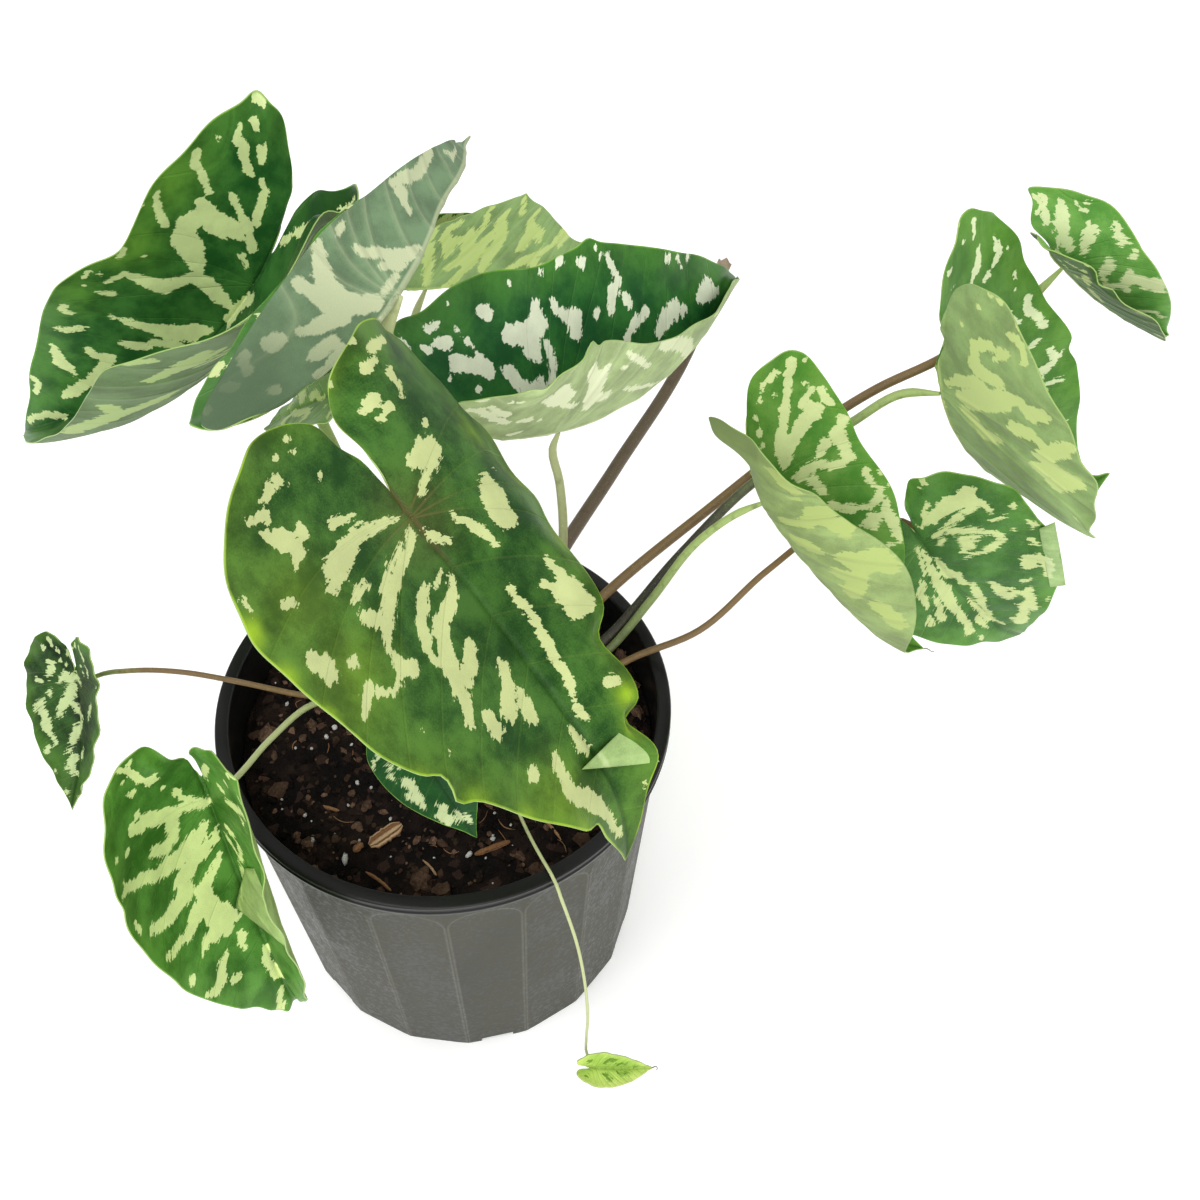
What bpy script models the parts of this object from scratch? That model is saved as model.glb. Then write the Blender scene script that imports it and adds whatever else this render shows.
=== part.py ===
"""A potted alocasia: black nursery pot, bark mix, one crown, and fourteen variegated leaves on petioles.

Frame: metres, +Z up, origin at the centre of the pot's underside, +X to the right of the front view.
"""
import math

import bmesh
import bpy
from mathutils import Matrix, Vector

# Driving dimensions (metres, degrees)
MM = 0.001
GAP = 0.0003                 # clearance kept between neighbouring pieces
WELD = 0.00001               # points closer than this are one point
POT_TOP_RADIUS = 0.102       # outside of the lip
POT_BASE_RADIUS = 0.0853
POT_HEIGHT = 0.177
LIP_HEIGHT = 0.0065          # depth of the lip's outer band
LIP_WIDTH = 0.0065           # lip seen from above
LIP_ROUND = 0.0012
WALL_TOP_RADIUS = 0.0983     # wall just under the lip
WALL = 0.0015
FLOOR = 0.0018
POT_STEPS = 72               # four facets to a panel
PANELS = 18
PANEL_PHASE = 13.0           # direction of the first panel's middle
PANEL_SHARE = 0.955          # part of a panel's pitch that its flat takes
ARCH_START = 0.147           # where the panel's straight sides end
ARCH_TOP = 0.162
ARCH_STEPS = 8
CUTTER_OVERRUN = 0.004       # how far a cutter reaches past what it cuts
DRAINS = 6
DRAIN_PHASE = -87.0
DRAIN_WIDTH = 0.016
DRAIN_HEIGHT = 0.003
DRAIN_DEPTH = 0.014
SOIL_LEVEL = 0.1555
SOIL_EDGE_DROP = 0.003       # the mix settles this much at the wall
CROWN_CENTRE = (0.022, 0.002)
CROWN_RADIUS = 0.0068
CROWN_HEIGHT = 0.015
CROWN_RINGS = 4
CROWN_STEPS = 16
BLADE_THICKNESS = 0.0010
STALK_TAPER = 0.2            # share of its radius that a petiole loses before its neck
STALK_STEP = 0.014
NECK_LENGTH = 0.012          # where it narrows to meet the blade
NECK_RADIUS = 0.9            # millimetres

# Half of a heart-shaped blade, tip to sinus: distance along the midrib (blade lengths, or lobe
# lengths where negative) and distance from it (half widths).
HALF_OUTLINE = [
    (1.00, 0.00), (0.88, 0.15), (0.72, 0.40), (0.50, 0.68), (0.25, 0.90), (0.00, 1.00),
    (-0.45, 0.96), (-0.82, 0.72), (-1.00, 0.42), (-0.86, 0.16), (-0.52, 0.045), (-0.20, 0.00)]

BLADE_DEFAULTS = dict(
    lobe=0.47,               # lobe length as a share of the blade's length
    roll=0, bend=0, lobe_bend=0,
    fold_l=10, fold_r=10,    # rise of each half at the midrib
    curl_l=0, curl_r=0,      # further rise from midrib to margin
    close=0, gape=0,         # extra fold at the tip and at the lobes
    twist=0, sway=0, tip_up=0.0,
    full_l=0.0, full_r=0.0,  # extra width half way to the tip
    lopsided=0.0,            # the left half wider than the right by this share
    lobe_skew=0.0)           # the left lobe longer than the right by this share

# Leaves: lengths, junctions and routes in millimetres, angles in degrees. The junction is where the
# petiole meets the blade's upper face, and a route runs from the mix to just short of it.
LEAVES = [
    dict(name="front", junction=(-2, -44, 353), length=157, half_width=84,
         lobe=0.38, heading=-43, pitch=-44, roll=-3, bend=-1, lobe_bend=-47, fold_l=14, fold_r=11,
         curl_l=-75, curl_r=8, close=12, gape=-8, twist=8, sway=-9, tip_up=-0.15, full_l=-0.3,
         full_r=0.06, lopsided=-0.06, columns=14, rings=5, stalk=4.0,
         foot=(13, -6), route=[(5, -5, 205), (-8, -9, 257), (-14, -26, 316)]),
    dict(name="left", junction=(-63, 193, 265), length=196, half_width=93,
         lobe=0.55, heading=176, pitch=-57, roll=-19, bend=-41, lobe_bend=-29, fold_l=11, fold_r=63,
         curl_l=67, curl_r=46, close=7, gape=-11, twist=29, sway=-28, tip_up=-0.12, full_l=-0.1,
         full_r=0.41, lopsided=0.3, columns=14, rings=5, stalk=3.2,
         foot=(7, 11), route=[(-7, 48, 190), (-28, 108, 207), (-50, 172, 235)]),
    dict(name="centre_folded", junction=(3, 50, 372), length=149, half_width=48,
         lobe=0.64, heading=61, pitch=1, roll=-87, bend=-24, lobe_bend=-45, fold_l=72, fold_r=72,
         curl_l=-4, curl_r=-29, close=-9, gape=12, twist=20, sway=31, full_l=0.03, full_r=-0.15,
         lopsided=0.26, columns=13, rings=4, stalk=3.4,
         foot=(14, 14), route=[(12, 23, 215), (5, 33, 280), (-3, 41, 338), (-3, 47, 357)]),
    dict(name="back", junction=(18, 182, 261), length=104, half_width=46,
         lobe=0.42, heading=25, pitch=-23, roll=9, bend=-15, lobe_bend=-28, fold_l=81, fold_r=81,
         twist=-13, sway=13, full_r=0.32, lopsided=-0.12, columns=11, rings=4, stalk=2.3,
         foot=(21, 17), route=[(8, 62, 190), (-2, 128, 212), (6, 172, 237), (12, 181, 248)]),
    dict(name="centre", junction=(66, 78, 261), length=159, half_width=68,
         lobe=0.58, heading=23, pitch=-13, roll=-9, bend=-32, lobe_bend=-80, fold_l=68, fold_r=49,
         curl_r=34, close=11, gape=-18, sway=40, tip_up=-0.13, full_l=0.2, full_r=-0.22,
         lopsided=0.06, lobe_skew=0.12, columns=14, rings=5, stalk=2.4,
         foot=(27, 12), route=[(51, 29, 186), (63, 53, 212), (65, 73, 233), (63, 78, 250)]),
    dict(name="right_folded", junction=(150, 31, 250), length=118, half_width=55,
         lobe=0.58, heading=-42, pitch=-51, roll=-19, bend=-5, lobe_bend=-78, fold_l=67, fold_r=12,
         curl_r=70, close=8, gape=-7, twist=-11, sway=25, tip_up=0.08, full_l=0.16, full_r=0.28,
         lopsided=-0.14, lobe_skew=0.18, columns=13, rings=4, stalk=2.1,
         foot=(43, 4), route=[(80, 18, 178), (99, 26, 198), (122, 33, 228), (139, 33, 243)]),
    dict(name="right_low", junction=(223, 22, 217), length=101, half_width=50,
         lobe=0.37, heading=-29, pitch=-53, roll=73, bend=28, lobe_bend=-5, fold_l=13, curl_r=-8,
         close=1, gape=-1, twist=-3, sway=6, tip_up=-0.04, full_l=0.14, full_r=-0.05, lopsided=0.08,
         columns=12, rings=4, stalk=1.7,
         foot=(43, -4), route=[(86, 9, 178), (118, 9, 193), (152, 24, 211), (182, 38, 217), (205, 39, 218),
                (220, 33, 219)]),
    dict(name="right_far", junction=(234, 60, 274), length=167, half_width=76,
         lobe=0.51, heading=3, pitch=-72, roll=-7, bend=-55, lobe_bend=-34, fold_l=66, fold_r=12,
         curl_l=14, curl_r=7, close=18, gape=-13, twist=11, sway=10, tip_up=0.04, full_l=0.2,
         full_r=0.07, lopsided=-0.14, columns=13, rings=4, stalk=2.5,
         foot=(41, 11), route=[(77, 22, 178), (116, 43, 207), (150, 56, 234), (195, 64, 257),
                (220, 68, 268)]),
    dict(name="right_top", junction=(298, 100, 301), length=89, half_width=40,
         lobe=0.51, heading=-11, pitch=-45, roll=42, bend=12, lobe_bend=8, fold_l=63, fold_r=73,
         curl_l=20, curl_r=20, gape=-21, twist=3, sway=25, tip_up=0.02, lopsided=-0.02, columns=11,
         rings=3, stalk=2.5,
         foot=(37, 18), route=[(78, 42, 183), (133, 60, 217), (177, 75, 240), (214, 83, 258),
                (240, 84, 270), (288, 98, 292)]),
    dict(name="small_left", junction=(-159, 28, 190), length=57, half_width=27,
         lobe=0.44, heading=-98, pitch=-50, roll=33, bend=-12, lobe_bend=-33, fold_l=18, fold_r=26,
         curl_l=7, curl_r=-27, close=5, gape=-5, twist=-5, sway=-6, full_r=0.06, lopsided=-0.02,
         columns=9, rings=3, stalk=1.4,
         foot=(4, 2), route=[(-65, 2, 198), (-86, 8, 203), (-111, 17, 204), (-134, 26, 198),
                (-150, 31, 191)]),
    dict(name="low_left", junction=(-100, -50, 202), length=142, half_width=71,
         heading=-74, pitch=-72, roll=7, bend=3, lobe_bend=-60, fold_l=59, fold_r=28, curl_l=38,
         curl_r=54, close=2, gape=-2, twist=1, sway=3, tip_up=-0.08, full_l=-0.13, full_r=-0.04,
         lopsided=0.05, columns=13, rings=4, stalk=1.6,
         foot=(6, -7), route=[(-57, 0, 190), (-75, -20, 197), (-92, -42, 201)]),
    dict(name="under_front", junction=(-13, -36, 195), length=44, half_width=21,
         heading=-63, pitch=-15, roll=8, bend=10, fold_l=12, fold_r=9, curl_r=-1, close=-3, twist=1,
         full_l=0.02, full_r=0.03, columns=8, rings=3, stalk=1.4,
         foot=(10, -14), route=[(2, -21, 171), (-8, -29, 182)]),
    dict(name="hanging", junction=(48, -130, 55), length=27, half_width=11,
         lobe=0.43, heading=-5, pitch=-16, roll=24, bend=7, lobe_bend=-7, fold_l=48, fold_r=35,
         curl_l=9, curl_r=8, close=2, gape=7, twist=4, sway=3, full_l=-0.02, full_r=0.02, columns=7,
         rings=2, stalk=0.8,
         foot=(20, -15), route=[(26, -56, 166), (32, -86, 177.4), (34.3, -93.6, 178.7),
                (35.8, -99, 178.4), (37, -103, 174), (39, -105, 163), (42, -109, 145), (44.5, -114, 117),
                (45, -119, 83), (44, -120, 64), (44, -122.5, 54), (46, -127, 51.8)]),
    dict(name="behind_front", junction=(-29, 130, 250), length=56, half_width=26,
         heading=-196, pitch=-28, roll=-10, bend=27, lobe_bend=-1, fold_l=20, fold_r=-5, curl_l=8,
         curl_r=-7, close=-8, gape=3, twist=-2, sway=-8, tip_up=0.02, full_l=0.06, lopsided=0.03,
         columns=8, rings=3, stalk=1.7,
         foot=(10, 19), route=[(0, 55, 195), (-12, 95, 225), (-25, 122, 244)])]

CUT_FOOT = (29, 24)
CUT_ROUTE = [(56, 62, 180), (97, 108, 199), (139, 155, 218), (168, 195, 245)]
CUT_FOOT_RADIUS = 3.6
CUT_END_RADIUS = 3.7


def new_material(name, colour, roughness):
    """A Principled material of one colour."""
    material = bpy.data.materials.new(name)
    material.use_nodes = True
    shader = material.node_tree.nodes["Principled BSDF"]
    shader.inputs["Base Color"].default_value = (*colour, 1.0)
    shader.inputs["Roughness"].default_value = roughness
    shader.inputs["Metallic"].default_value = 0.0
    material.diffuse_color = (*colour, 1.0)
    return material


def add_object(name, mesh, collection, material=None):
    """Link a mesh to a collection as a named object."""
    item = bpy.data.objects.new(name, mesh)
    collection.objects.link(item)
    if material:
        mesh.materials.append(material)
    return item


def mesh_from(bm, name):
    """Finish a bmesh as a mesh with its faces pointing out."""
    bmesh.ops.recalc_face_normals(bm, faces=bm.faces[:])
    mesh = bpy.data.meshes.new(name)
    bm.to_mesh(mesh)
    bm.free()
    return mesh


def turned(name, profile, steps, collection, material):
    """A solid of revolution: an open profile of (radius, height) points with a Screw modifier."""
    bm = bmesh.new()
    corners = [bm.verts.new((radius, 0.0, height)) for radius, height in profile]
    for upper, lower in zip(corners, corners[1:]):
        bm.edges.new((upper, lower))
    mesh = bpy.data.meshes.new(name)
    bm.to_mesh(mesh)
    bm.free()
    item = add_object(name, mesh, collection, material)
    screw = item.modifiers.new("turn", "SCREW")
    screw.steps = steps
    screw.render_steps = steps
    screw.use_merge_vertices = True
    screw.merge_threshold = WELD
    return item


def cut(item, cutter):
    """Subtract a cutter, and keep the cutter out of the part."""
    cutter.hide_render = True
    cutter.display_type = "WIRE"
    difference = item.modifiers.new("cut_" + cutter.name, "BOOLEAN")
    difference.operation = "DIFFERENCE"
    difference.solver = "EXACT"
    difference.object = cutter


def wall_radius(height):
    """Outside radius of the pot's round wall."""
    share = height / (POT_HEIGHT - LIP_HEIGHT)
    return POT_BASE_RADIUS + (WALL_TOP_RADIUS - POT_BASE_RADIUS) * share


def bore_radius(height):
    """Inside radius of the wall, a wall's thickness behind the flat panels."""
    return wall_radius(height) * math.cos(math.pi / PANELS) - WALL


def pot_profile():
    """From the middle of the inside floor, up the bore, over the lip, and down the outside."""
    lip_under = POT_HEIGHT - LIP_HEIGHT
    bore_top = lip_under - 0.0045
    inner_edge = POT_TOP_RADIUS - LIP_WIDTH
    return [
        (0.0, FLOOR), (bore_radius(0.0) - FLOOR, FLOOR), (bore_radius(2 * FLOOR), 2 * FLOOR),
        (bore_radius(bore_top), bore_top), (inner_edge - 0.0004, bore_top + LIP_ROUND),
        (inner_edge, POT_HEIGHT - LIP_ROUND), (inner_edge + 0.0010, POT_HEIGHT),
        (POT_TOP_RADIUS - LIP_ROUND, POT_HEIGHT), (POT_TOP_RADIUS - 0.0002, POT_HEIGHT - 0.0008),
        (POT_TOP_RADIUS, POT_HEIGHT - 0.0020), (POT_TOP_RADIUS, lip_under + 0.0008),
        (POT_TOP_RADIUS - 0.0008, lip_under), (WALL_TOP_RADIUS + 0.0006, lip_under),
        (WALL_TOP_RADIUS, lip_under - 0.0010), (wall_radius(0.0008), 0.0008),
        (POT_BASE_RADIUS - 0.0008, 0.0), (0.0, 0.0)]


def panel_outline(reach):
    """Outline of one flat panel, widest where its arched top starts."""
    foot_half_width = wall_radius(0.0) * math.tan(reach)
    half_width = wall_radius(ARCH_START) * math.tan(reach)
    outline = [(-foot_half_width, -CUTTER_OVERRUN), (foot_half_width, -CUTTER_OVERRUN)]
    for step in range(ARCH_STEPS + 1):
        turn = math.pi * step / ARCH_STEPS
        rise = ARCH_START + (ARCH_TOP - ARCH_START) * math.sin(turn)
        outline.append((half_width * math.cos(turn), rise))
    return outline


def panel_cutters(collection):
    """Eighteen arched prisms just outside the wall: what they take away leaves the flat panels."""
    half_angle = math.pi / PANELS
    lean = math.atan2(wall_radius(POT_HEIGHT) - wall_radius(0.0), POT_HEIGHT)
    # in a prism, x runs round the pot, y up the wall and z out of it
    stand = Matrix.Rotation(math.pi / 2, 4, "Z") @ Matrix.Rotation(math.pi / 2 + lean, 4, "X")
    bm = bmesh.new()
    for number in range(PANELS):
        corners = [bm.verts.new((x, y, 0.0)) for x, y in panel_outline(half_angle * PANEL_SHARE)]
        prism = bmesh.ops.extrude_face_region(bm, geom=[bm.faces.new(corners)])
        raised = [part for part in prism["geom"] if isinstance(part, bmesh.types.BMVert)]
        bmesh.ops.translate(bm, verts=raised, vec=(0.0, 0.0, 3 * CUTTER_OVERRUN))
        direction = Matrix.Rotation(math.radians(PANEL_PHASE) + 2 * number * half_angle, 4, "Z")
        out = Matrix.Translation((POT_BASE_RADIUS * math.cos(half_angle), 0.0, 0.0))
        bmesh.ops.transform(bm, matrix=direction @ out @ stand, verts=corners + raised)
    return add_object("panel_cutter", mesh_from(bm, "panel_cutter"), collection)


def drain_cutters(collection):
    """Small blocks that open the drain holes at the foot of every third panel."""
    bm = bmesh.new()
    for number in range(DRAINS):
        direction = math.radians(DRAIN_PHASE + number * 360.0 / DRAINS)
        block = bmesh.ops.create_cube(bm, size=1.0)["verts"]
        shape = Matrix.Diagonal((DRAIN_DEPTH, DRAIN_WIDTH, 2.0 * DRAIN_HEIGHT, 1.0))
        move = Matrix.Rotation(direction, 4, "Z") @ Matrix.Translation((POT_BASE_RADIUS, 0.0, 0.0))
        bmesh.ops.transform(bm, matrix=move @ shape, verts=block)
    return add_object("drain_cutter", mesh_from(bm, "drain_cutter"), collection)


def make_pot(parts, cutters):
    """The pot: one turned moulding with arched flat panels and drain holes."""
    black = new_material("pot_plastic", (0.055, 0.055, 0.052), 0.42)
    pot = turned("pot", pot_profile(), POT_STEPS, parts, black)
    cut(pot, panel_cutters(cutters))
    cut(pot, drain_cutters(cutters))


def make_soil(parts):
    """The mix: it fills the pot to the soil level and is a little lower at the wall."""
    foot = FLOOR + GAP
    edge_level = SOIL_LEVEL - SOIL_EDGE_DROP
    edge = bore_radius(edge_level) - GAP
    profile = [
        (0.0, SOIL_LEVEL), (0.69 * edge, SOIL_LEVEL), (0.91 * edge, SOIL_LEVEL - 0.4 * SOIL_EDGE_DROP),
        (edge, edge_level), (bore_radius(3 * foot) - GAP, 3 * foot),
        (bore_radius(0.0) - 2 * foot, foot), (0.0, foot)]
    brown = new_material("potting_mix", (0.045, 0.030, 0.022), 0.95)
    turned("potting_mix", profile, POT_STEPS // 2, parts, brown)


def make_crown(parts):
    """The crown: a short ringed stem that stands just on the mix, between the petiole feet."""
    profile = [(0.0, CROWN_HEIGHT)]
    for ring in range(CROWN_RINGS):
        share = 0.6 + 0.4 * ring / (CROWN_RINGS - 1)
        level = CROWN_HEIGHT * (0.9 - 0.22 * ring)
        profile.append((CROWN_RADIUS * share, level))
        profile.append((CROWN_RADIUS * (share - 0.05), level - 0.12 * CROWN_HEIGHT))
    profile.append((CROWN_RADIUS, 0.0))
    profile.append((0.0, 0.0))
    brown = new_material("crown_bark", (0.11, 0.075, 0.045), 0.8)
    crown = turned("crown", profile, CROWN_STEPS, parts, brown)
    crown.location = (*CROWN_CENTRE, SOIL_LEVEL + GAP)


def catmull_rom(points, share):
    """Point at a share (0 to 1) of the way through a list of vectors."""
    spans = len(points) - 1
    place = min(share * spans, spans - 1e-9)
    first = int(place)
    t = place - first
    p1, p2 = points[first], points[first + 1]
    p0 = points[first - 1] if first > 0 else 2.0 * p1 - p2
    p3 = points[first + 2] if first + 2 <= spans else 2.0 * p2 - p1
    cubic = -p0 + 3.0 * p1 - 3.0 * p2 + p3
    square = 2.0 * p0 - 5.0 * p1 + 4.0 * p2 - p3
    return 0.5 * (2.0 * p1 + (p2 - p0) * t + square * t ** 2 + cubic * t ** 3)


def outline_point(leaf, share, side):
    """Point of the flat blade's outline: along the midrib (lengths) and off it (half widths)."""
    full = leaf["full_l"] if side > 0 else leaf["full_r"]
    stations = []
    for along, off in HALF_OUTLINE:
        ahead = min(max(along, 0.0), 1.0)
        widened = off * (1.0 + full * 4.0 * ahead * (1.0 - ahead))
        stations.append(Vector((along if along >= 0.0 else along * leaf["lobe"], widened)))
    point = catmull_rom(stations, share)
    return point.x, point.y * side


def blade_axes(leaf):
    """Rotation that aims the blade: roll, then pitch (positive raises the tip), then heading."""
    roll = Matrix.Rotation(math.radians(leaf["roll"]), 3, "X")
    pitch = Matrix.Rotation(math.radians(-leaf["pitch"]), 3, "Y")
    heading = Matrix.Rotation(math.radians(leaf["heading"]), 3, "Z")
    return heading @ pitch @ roll


def junction_of(leaf):
    """Where the petiole meets the blade's upper face, in metres."""
    return Vector(leaf["junction"]) * MM


def arc(angle, rate, length):
    """Run and rise along an arc that starts at an angle and turns at a rate (radians a metre)."""
    if abs(rate) < 1e-6:
        return length * math.cos(angle), length * math.sin(angle)
    run = (math.sin(angle + rate * length) - math.sin(angle)) / rate
    rise = (math.cos(angle) - math.cos(angle + rate * length)) / rate
    return run, rise


def blade_point(leaf, along, off):
    """Where a point of the flat blade lies once the blade is folded, curled, bent and aimed."""
    length, half_width = leaf["length"] * MM, leaf["half_width"] * MM
    side = 1.0 if off >= 0.0 else -1.0
    if along < 0.0:
        along *= 1.0 + side * leaf["lobe_skew"]
    fold = leaf["fold_l"] if side > 0 else leaf["fold_r"]
    curl = leaf["curl_l"] if side > 0 else leaf["curl_r"]
    fold += leaf["close"] * along if along > 0 else -leaf["gape"] * along / leaf["lobe"]
    from_rib = abs(off) * half_width * (1.0 + side * leaf["lopsided"])
    across, lift = arc(math.radians(fold), math.radians(curl) / half_width, from_rib)
    across *= side
    twist = math.radians(leaf["twist"]) * along
    across, lift = (across * math.cos(twist) - lift * math.sin(twist),
                    across * math.sin(twist) + lift * math.cos(twist))
    bend = math.radians(leaf["bend"] if along > 0 else leaf["lobe_bend"]) / length
    distance = along * length
    ahead, drop = arc(0.0, bend, distance)
    turn = bend * distance
    hook = leaf["tip_up"] * length * min(max((along - 0.7) / 0.3, 0.0), 1.0) ** 2
    sway = math.radians(leaf["sway"]) / length if along > 0 else 0.0
    sideways_run, sideways = arc(0.0, sway, distance)
    swing = sway * distance
    stretch = ahead / distance if abs(distance) > 1e-9 else 1.0
    x = sideways_run * stretch - across * math.sin(swing) + lift * math.sin(turn) * math.cos(swing)
    y = sideways + across * math.cos(swing)
    z = hook - drop + lift * math.cos(turn)
    return junction_of(leaf) + blade_axes(leaf) @ Vector((x, y, z))


def make_blade(leaf, parts, material):
    """One blade: a grid wrapped into a fan about the petiole's end, and given its thickness."""
    columns, rings = leaf["columns"], leaf["rings"]
    bm = bmesh.new()
    bmesh.ops.create_grid(bm, x_segments=2 * columns, y_segments=rings, size=0.5)
    for vert in bm.verts:
        round_share = (vert.co.x + 0.5) * 2.0
        out_share = vert.co.y + 0.5
        side = 1.0 if round_share <= 1.0 else -1.0
        along, off = outline_point(leaf, round_share if side > 0 else 2.0 - round_share, side)
        vert.co = blade_point(leaf, along * out_share, off * out_share)
    bmesh.ops.remove_doubles(bm, verts=bm.verts[:], dist=WELD)
    middle = min(bm.verts, key=lambda vert: (vert.co - junction_of(leaf)).length)
    facing = blade_axes(leaf) @ Vector((0.0, 0.0, 1.0))
    bmesh.ops.recalc_face_normals(bm, faces=bm.faces[:])
    mean = sum((face.normal for face in middle.link_faces), Vector())
    if mean.dot(facing) < 0.0:
        bmesh.ops.reverse_faces(bm, faces=bm.faces[:])
    bmesh.ops.triangulate(bm, faces=bm.faces[:])
    mesh = bpy.data.meshes.new("blade_" + leaf["name"])
    bm.to_mesh(mesh)
    bm.free()
    mesh.shade_smooth()
    blade = add_object("blade_" + leaf["name"], mesh, parts, material)
    skin = blade.modifiers.new("thickness", "SOLIDIFY")
    skin.thickness = BLADE_THICKNESS
    skin.offset = -1.0


def smooth_route(points):
    """Points along a smooth curve through uneven points, about one every STALK_STEP."""
    chords = [(after - before).length for before, after in zip(points, points[1:])]
    slopes = [(points[1] - points[0]) / chords[0]]
    for number in range(1, len(points) - 1):
        before, after = chords[number - 1], chords[number]
        slope_in = (points[number] - points[number - 1]) / before
        slope_out = (points[number + 1] - points[number]) / after
        slopes.append((slope_in * after + slope_out * before) / (before + after))
    slopes.append((points[-1] - points[-2]) / chords[-1])
    smooth = [points[0]]
    for number, chord in enumerate(chords):
        start, end = points[number], points[number + 1]
        leave, arrive = slopes[number] * chord, slopes[number + 1] * chord
        pieces = max(1, round(chord / STALK_STEP))
        for piece in range(1, pieces + 1):
            t = piece / pieces
            smooth.append(start * (2 * t ** 3 - 3 * t ** 2 + 1) + leave * (t ** 3 - 2 * t ** 2 + t)
                          + end * (3 * t ** 2 - 2 * t ** 3) + arrive * (t ** 3 - t ** 2))
    return smooth


def stalk_radius(foot_radius, neck_radius, to_go, share):
    """Radius (millimetres) at a share of the way up: a slight taper, then a neck at the blade."""
    radius = foot_radius * (1.0 - STALK_TAPER * share)
    into_neck = max(0.0, 1.0 - to_go / NECK_LENGTH)
    return radius + (neck_radius - radius) * into_neck


def make_tube(name, foot, route, foot_radius, neck_radius, parts, material):
    """A round stalk that leaves the mix upright: a poly curve with filled caps, made a closed mesh."""
    bottom = (SOIL_LEVEL + GAP) / MM
    upright = [(*foot, bottom), (*foot, bottom + 1.5), (*foot, bottom + 4.0)]
    smooth = smooth_route([Vector(point) * MM for point in upright + route])
    reached = [0.0]
    for before, after in zip(smooth, smooth[1:]):
        reached.append(reached[-1] + (after - before).length)
    curve = bpy.data.curves.new(name + "_path", "CURVE")
    curve.dimensions = "3D"
    curve.bevel_depth = MM
    curve.bevel_resolution = 2
    curve.use_fill_caps = True
    spline = curve.splines.new("POLY")
    spline.points.add(len(smooth) - 1)
    for point, place, distance in zip(spline.points, smooth, reached):
        point.co = (*place, 1.0)
        share = distance / reached[-1]
        point.radius = stalk_radius(foot_radius, neck_radius, reached[-1] - distance, share)
    path = add_object(name + "_path", curve, parts)
    graph = bpy.context.evaluated_depsgraph_get()
    mesh = bpy.data.meshes.new_from_object(path.evaluated_get(graph))
    bm = bmesh.new()
    bm.from_mesh(mesh)
    bmesh.ops.remove_doubles(bm, verts=bm.verts[:], dist=WELD)
    bm.to_mesh(mesh)
    bm.free()
    bpy.data.objects.remove(path, do_unlink=True)
    mesh.shade_smooth()
    mesh.materials.clear()
    add_object(name, mesh, parts, material)


def make_petiole(leaf, parts, material):
    """The stalk from the crown to just under the blade's junction."""
    under = blade_axes(leaf) @ Vector((0.0, 0.0, -1.0))
    arrival = (Vector(leaf["junction"]) - Vector(leaf["route"][-1])).normalized()
    lean = arrival.cross(under).length
    clearance = (BLADE_THICKNESS + GAP) / MM + lean * NECK_RADIUS
    end = Vector(leaf["junction"]) + under * clearance
    route = leaf["route"] + [tuple(end)]
    make_tube("petiole_" + leaf["name"], leaf["foot"], route, leaf["stalk"], NECK_RADIUS, parts, material)


def clear_scene():
    """Remove whatever the file opened with."""
    for item in list(bpy.data.objects):
        bpy.data.objects.remove(item, do_unlink=True)


def main():
    clear_scene()
    parts = bpy.data.collections.new("potted_alocasia")
    cutters = bpy.data.collections.new("cutters")
    bpy.context.scene.collection.children.link(parts)
    bpy.context.scene.collection.children.link(cutters)
    make_pot(parts, cutters)
    make_soil(parts)
    make_crown(parts)
    green = new_material("blade_green", (0.07, 0.22, 0.06), 0.45)
    stalk = new_material("petiole_brown", (0.20, 0.13, 0.07), 0.5)
    for chosen in LEAVES:
        leaf = {**BLADE_DEFAULTS, **chosen}
        make_blade(leaf, parts, green)
        make_petiole(leaf, parts, stalk)
    make_tube("cut_petiole", CUT_FOOT, CUT_ROUTE, CUT_FOOT_RADIUS, CUT_END_RADIUS, parts, stalk)


main()
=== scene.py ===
"""A potted alocasia with camouflage-variegated leaves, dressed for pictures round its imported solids.

Metres, +Z up, origin at the centre of the pot's underside, +X to the right of the front view.
"""
import math
import random

import bmesh
import bpy
import numpy as np
from mathutils import Euler, Matrix, Vector, noise


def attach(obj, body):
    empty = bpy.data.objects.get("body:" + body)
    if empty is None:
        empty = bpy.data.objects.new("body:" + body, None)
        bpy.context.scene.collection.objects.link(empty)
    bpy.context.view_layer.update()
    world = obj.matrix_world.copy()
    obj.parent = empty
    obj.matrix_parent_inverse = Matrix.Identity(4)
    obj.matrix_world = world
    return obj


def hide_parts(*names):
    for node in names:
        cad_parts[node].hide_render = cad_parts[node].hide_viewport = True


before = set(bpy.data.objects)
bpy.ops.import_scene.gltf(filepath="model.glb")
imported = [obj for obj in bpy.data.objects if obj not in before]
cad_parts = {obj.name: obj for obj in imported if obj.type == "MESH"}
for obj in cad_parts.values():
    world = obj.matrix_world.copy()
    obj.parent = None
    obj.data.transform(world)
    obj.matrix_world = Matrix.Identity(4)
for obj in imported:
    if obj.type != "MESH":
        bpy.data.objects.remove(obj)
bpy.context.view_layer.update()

# ---------------------------------------------------------------------------------------------
# Studio: a flat white floor in plain white surroundings, three wide soft lights above and in
# front, and a camera that looks steeply down on the leaves from the front.
scene = bpy.context.scene
scene.view_settings.view_transform = "Standard"
scene.view_settings.look = "None"


def node(tree, kind, settings=None, **inputs):
    """A shader node. Each input is a value, or the socket that feeds it."""
    made = tree.nodes.new(kind)
    for key, value in (settings or {}).items():
        setattr(made, key, value)
    for key, value in inputs.items():
        socket = made.inputs[key.replace("_", " ")]
        if isinstance(value, bpy.types.NodeSocket):
            tree.links.new(value, socket)
        else:
            socket.default_value = value
    return made


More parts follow.
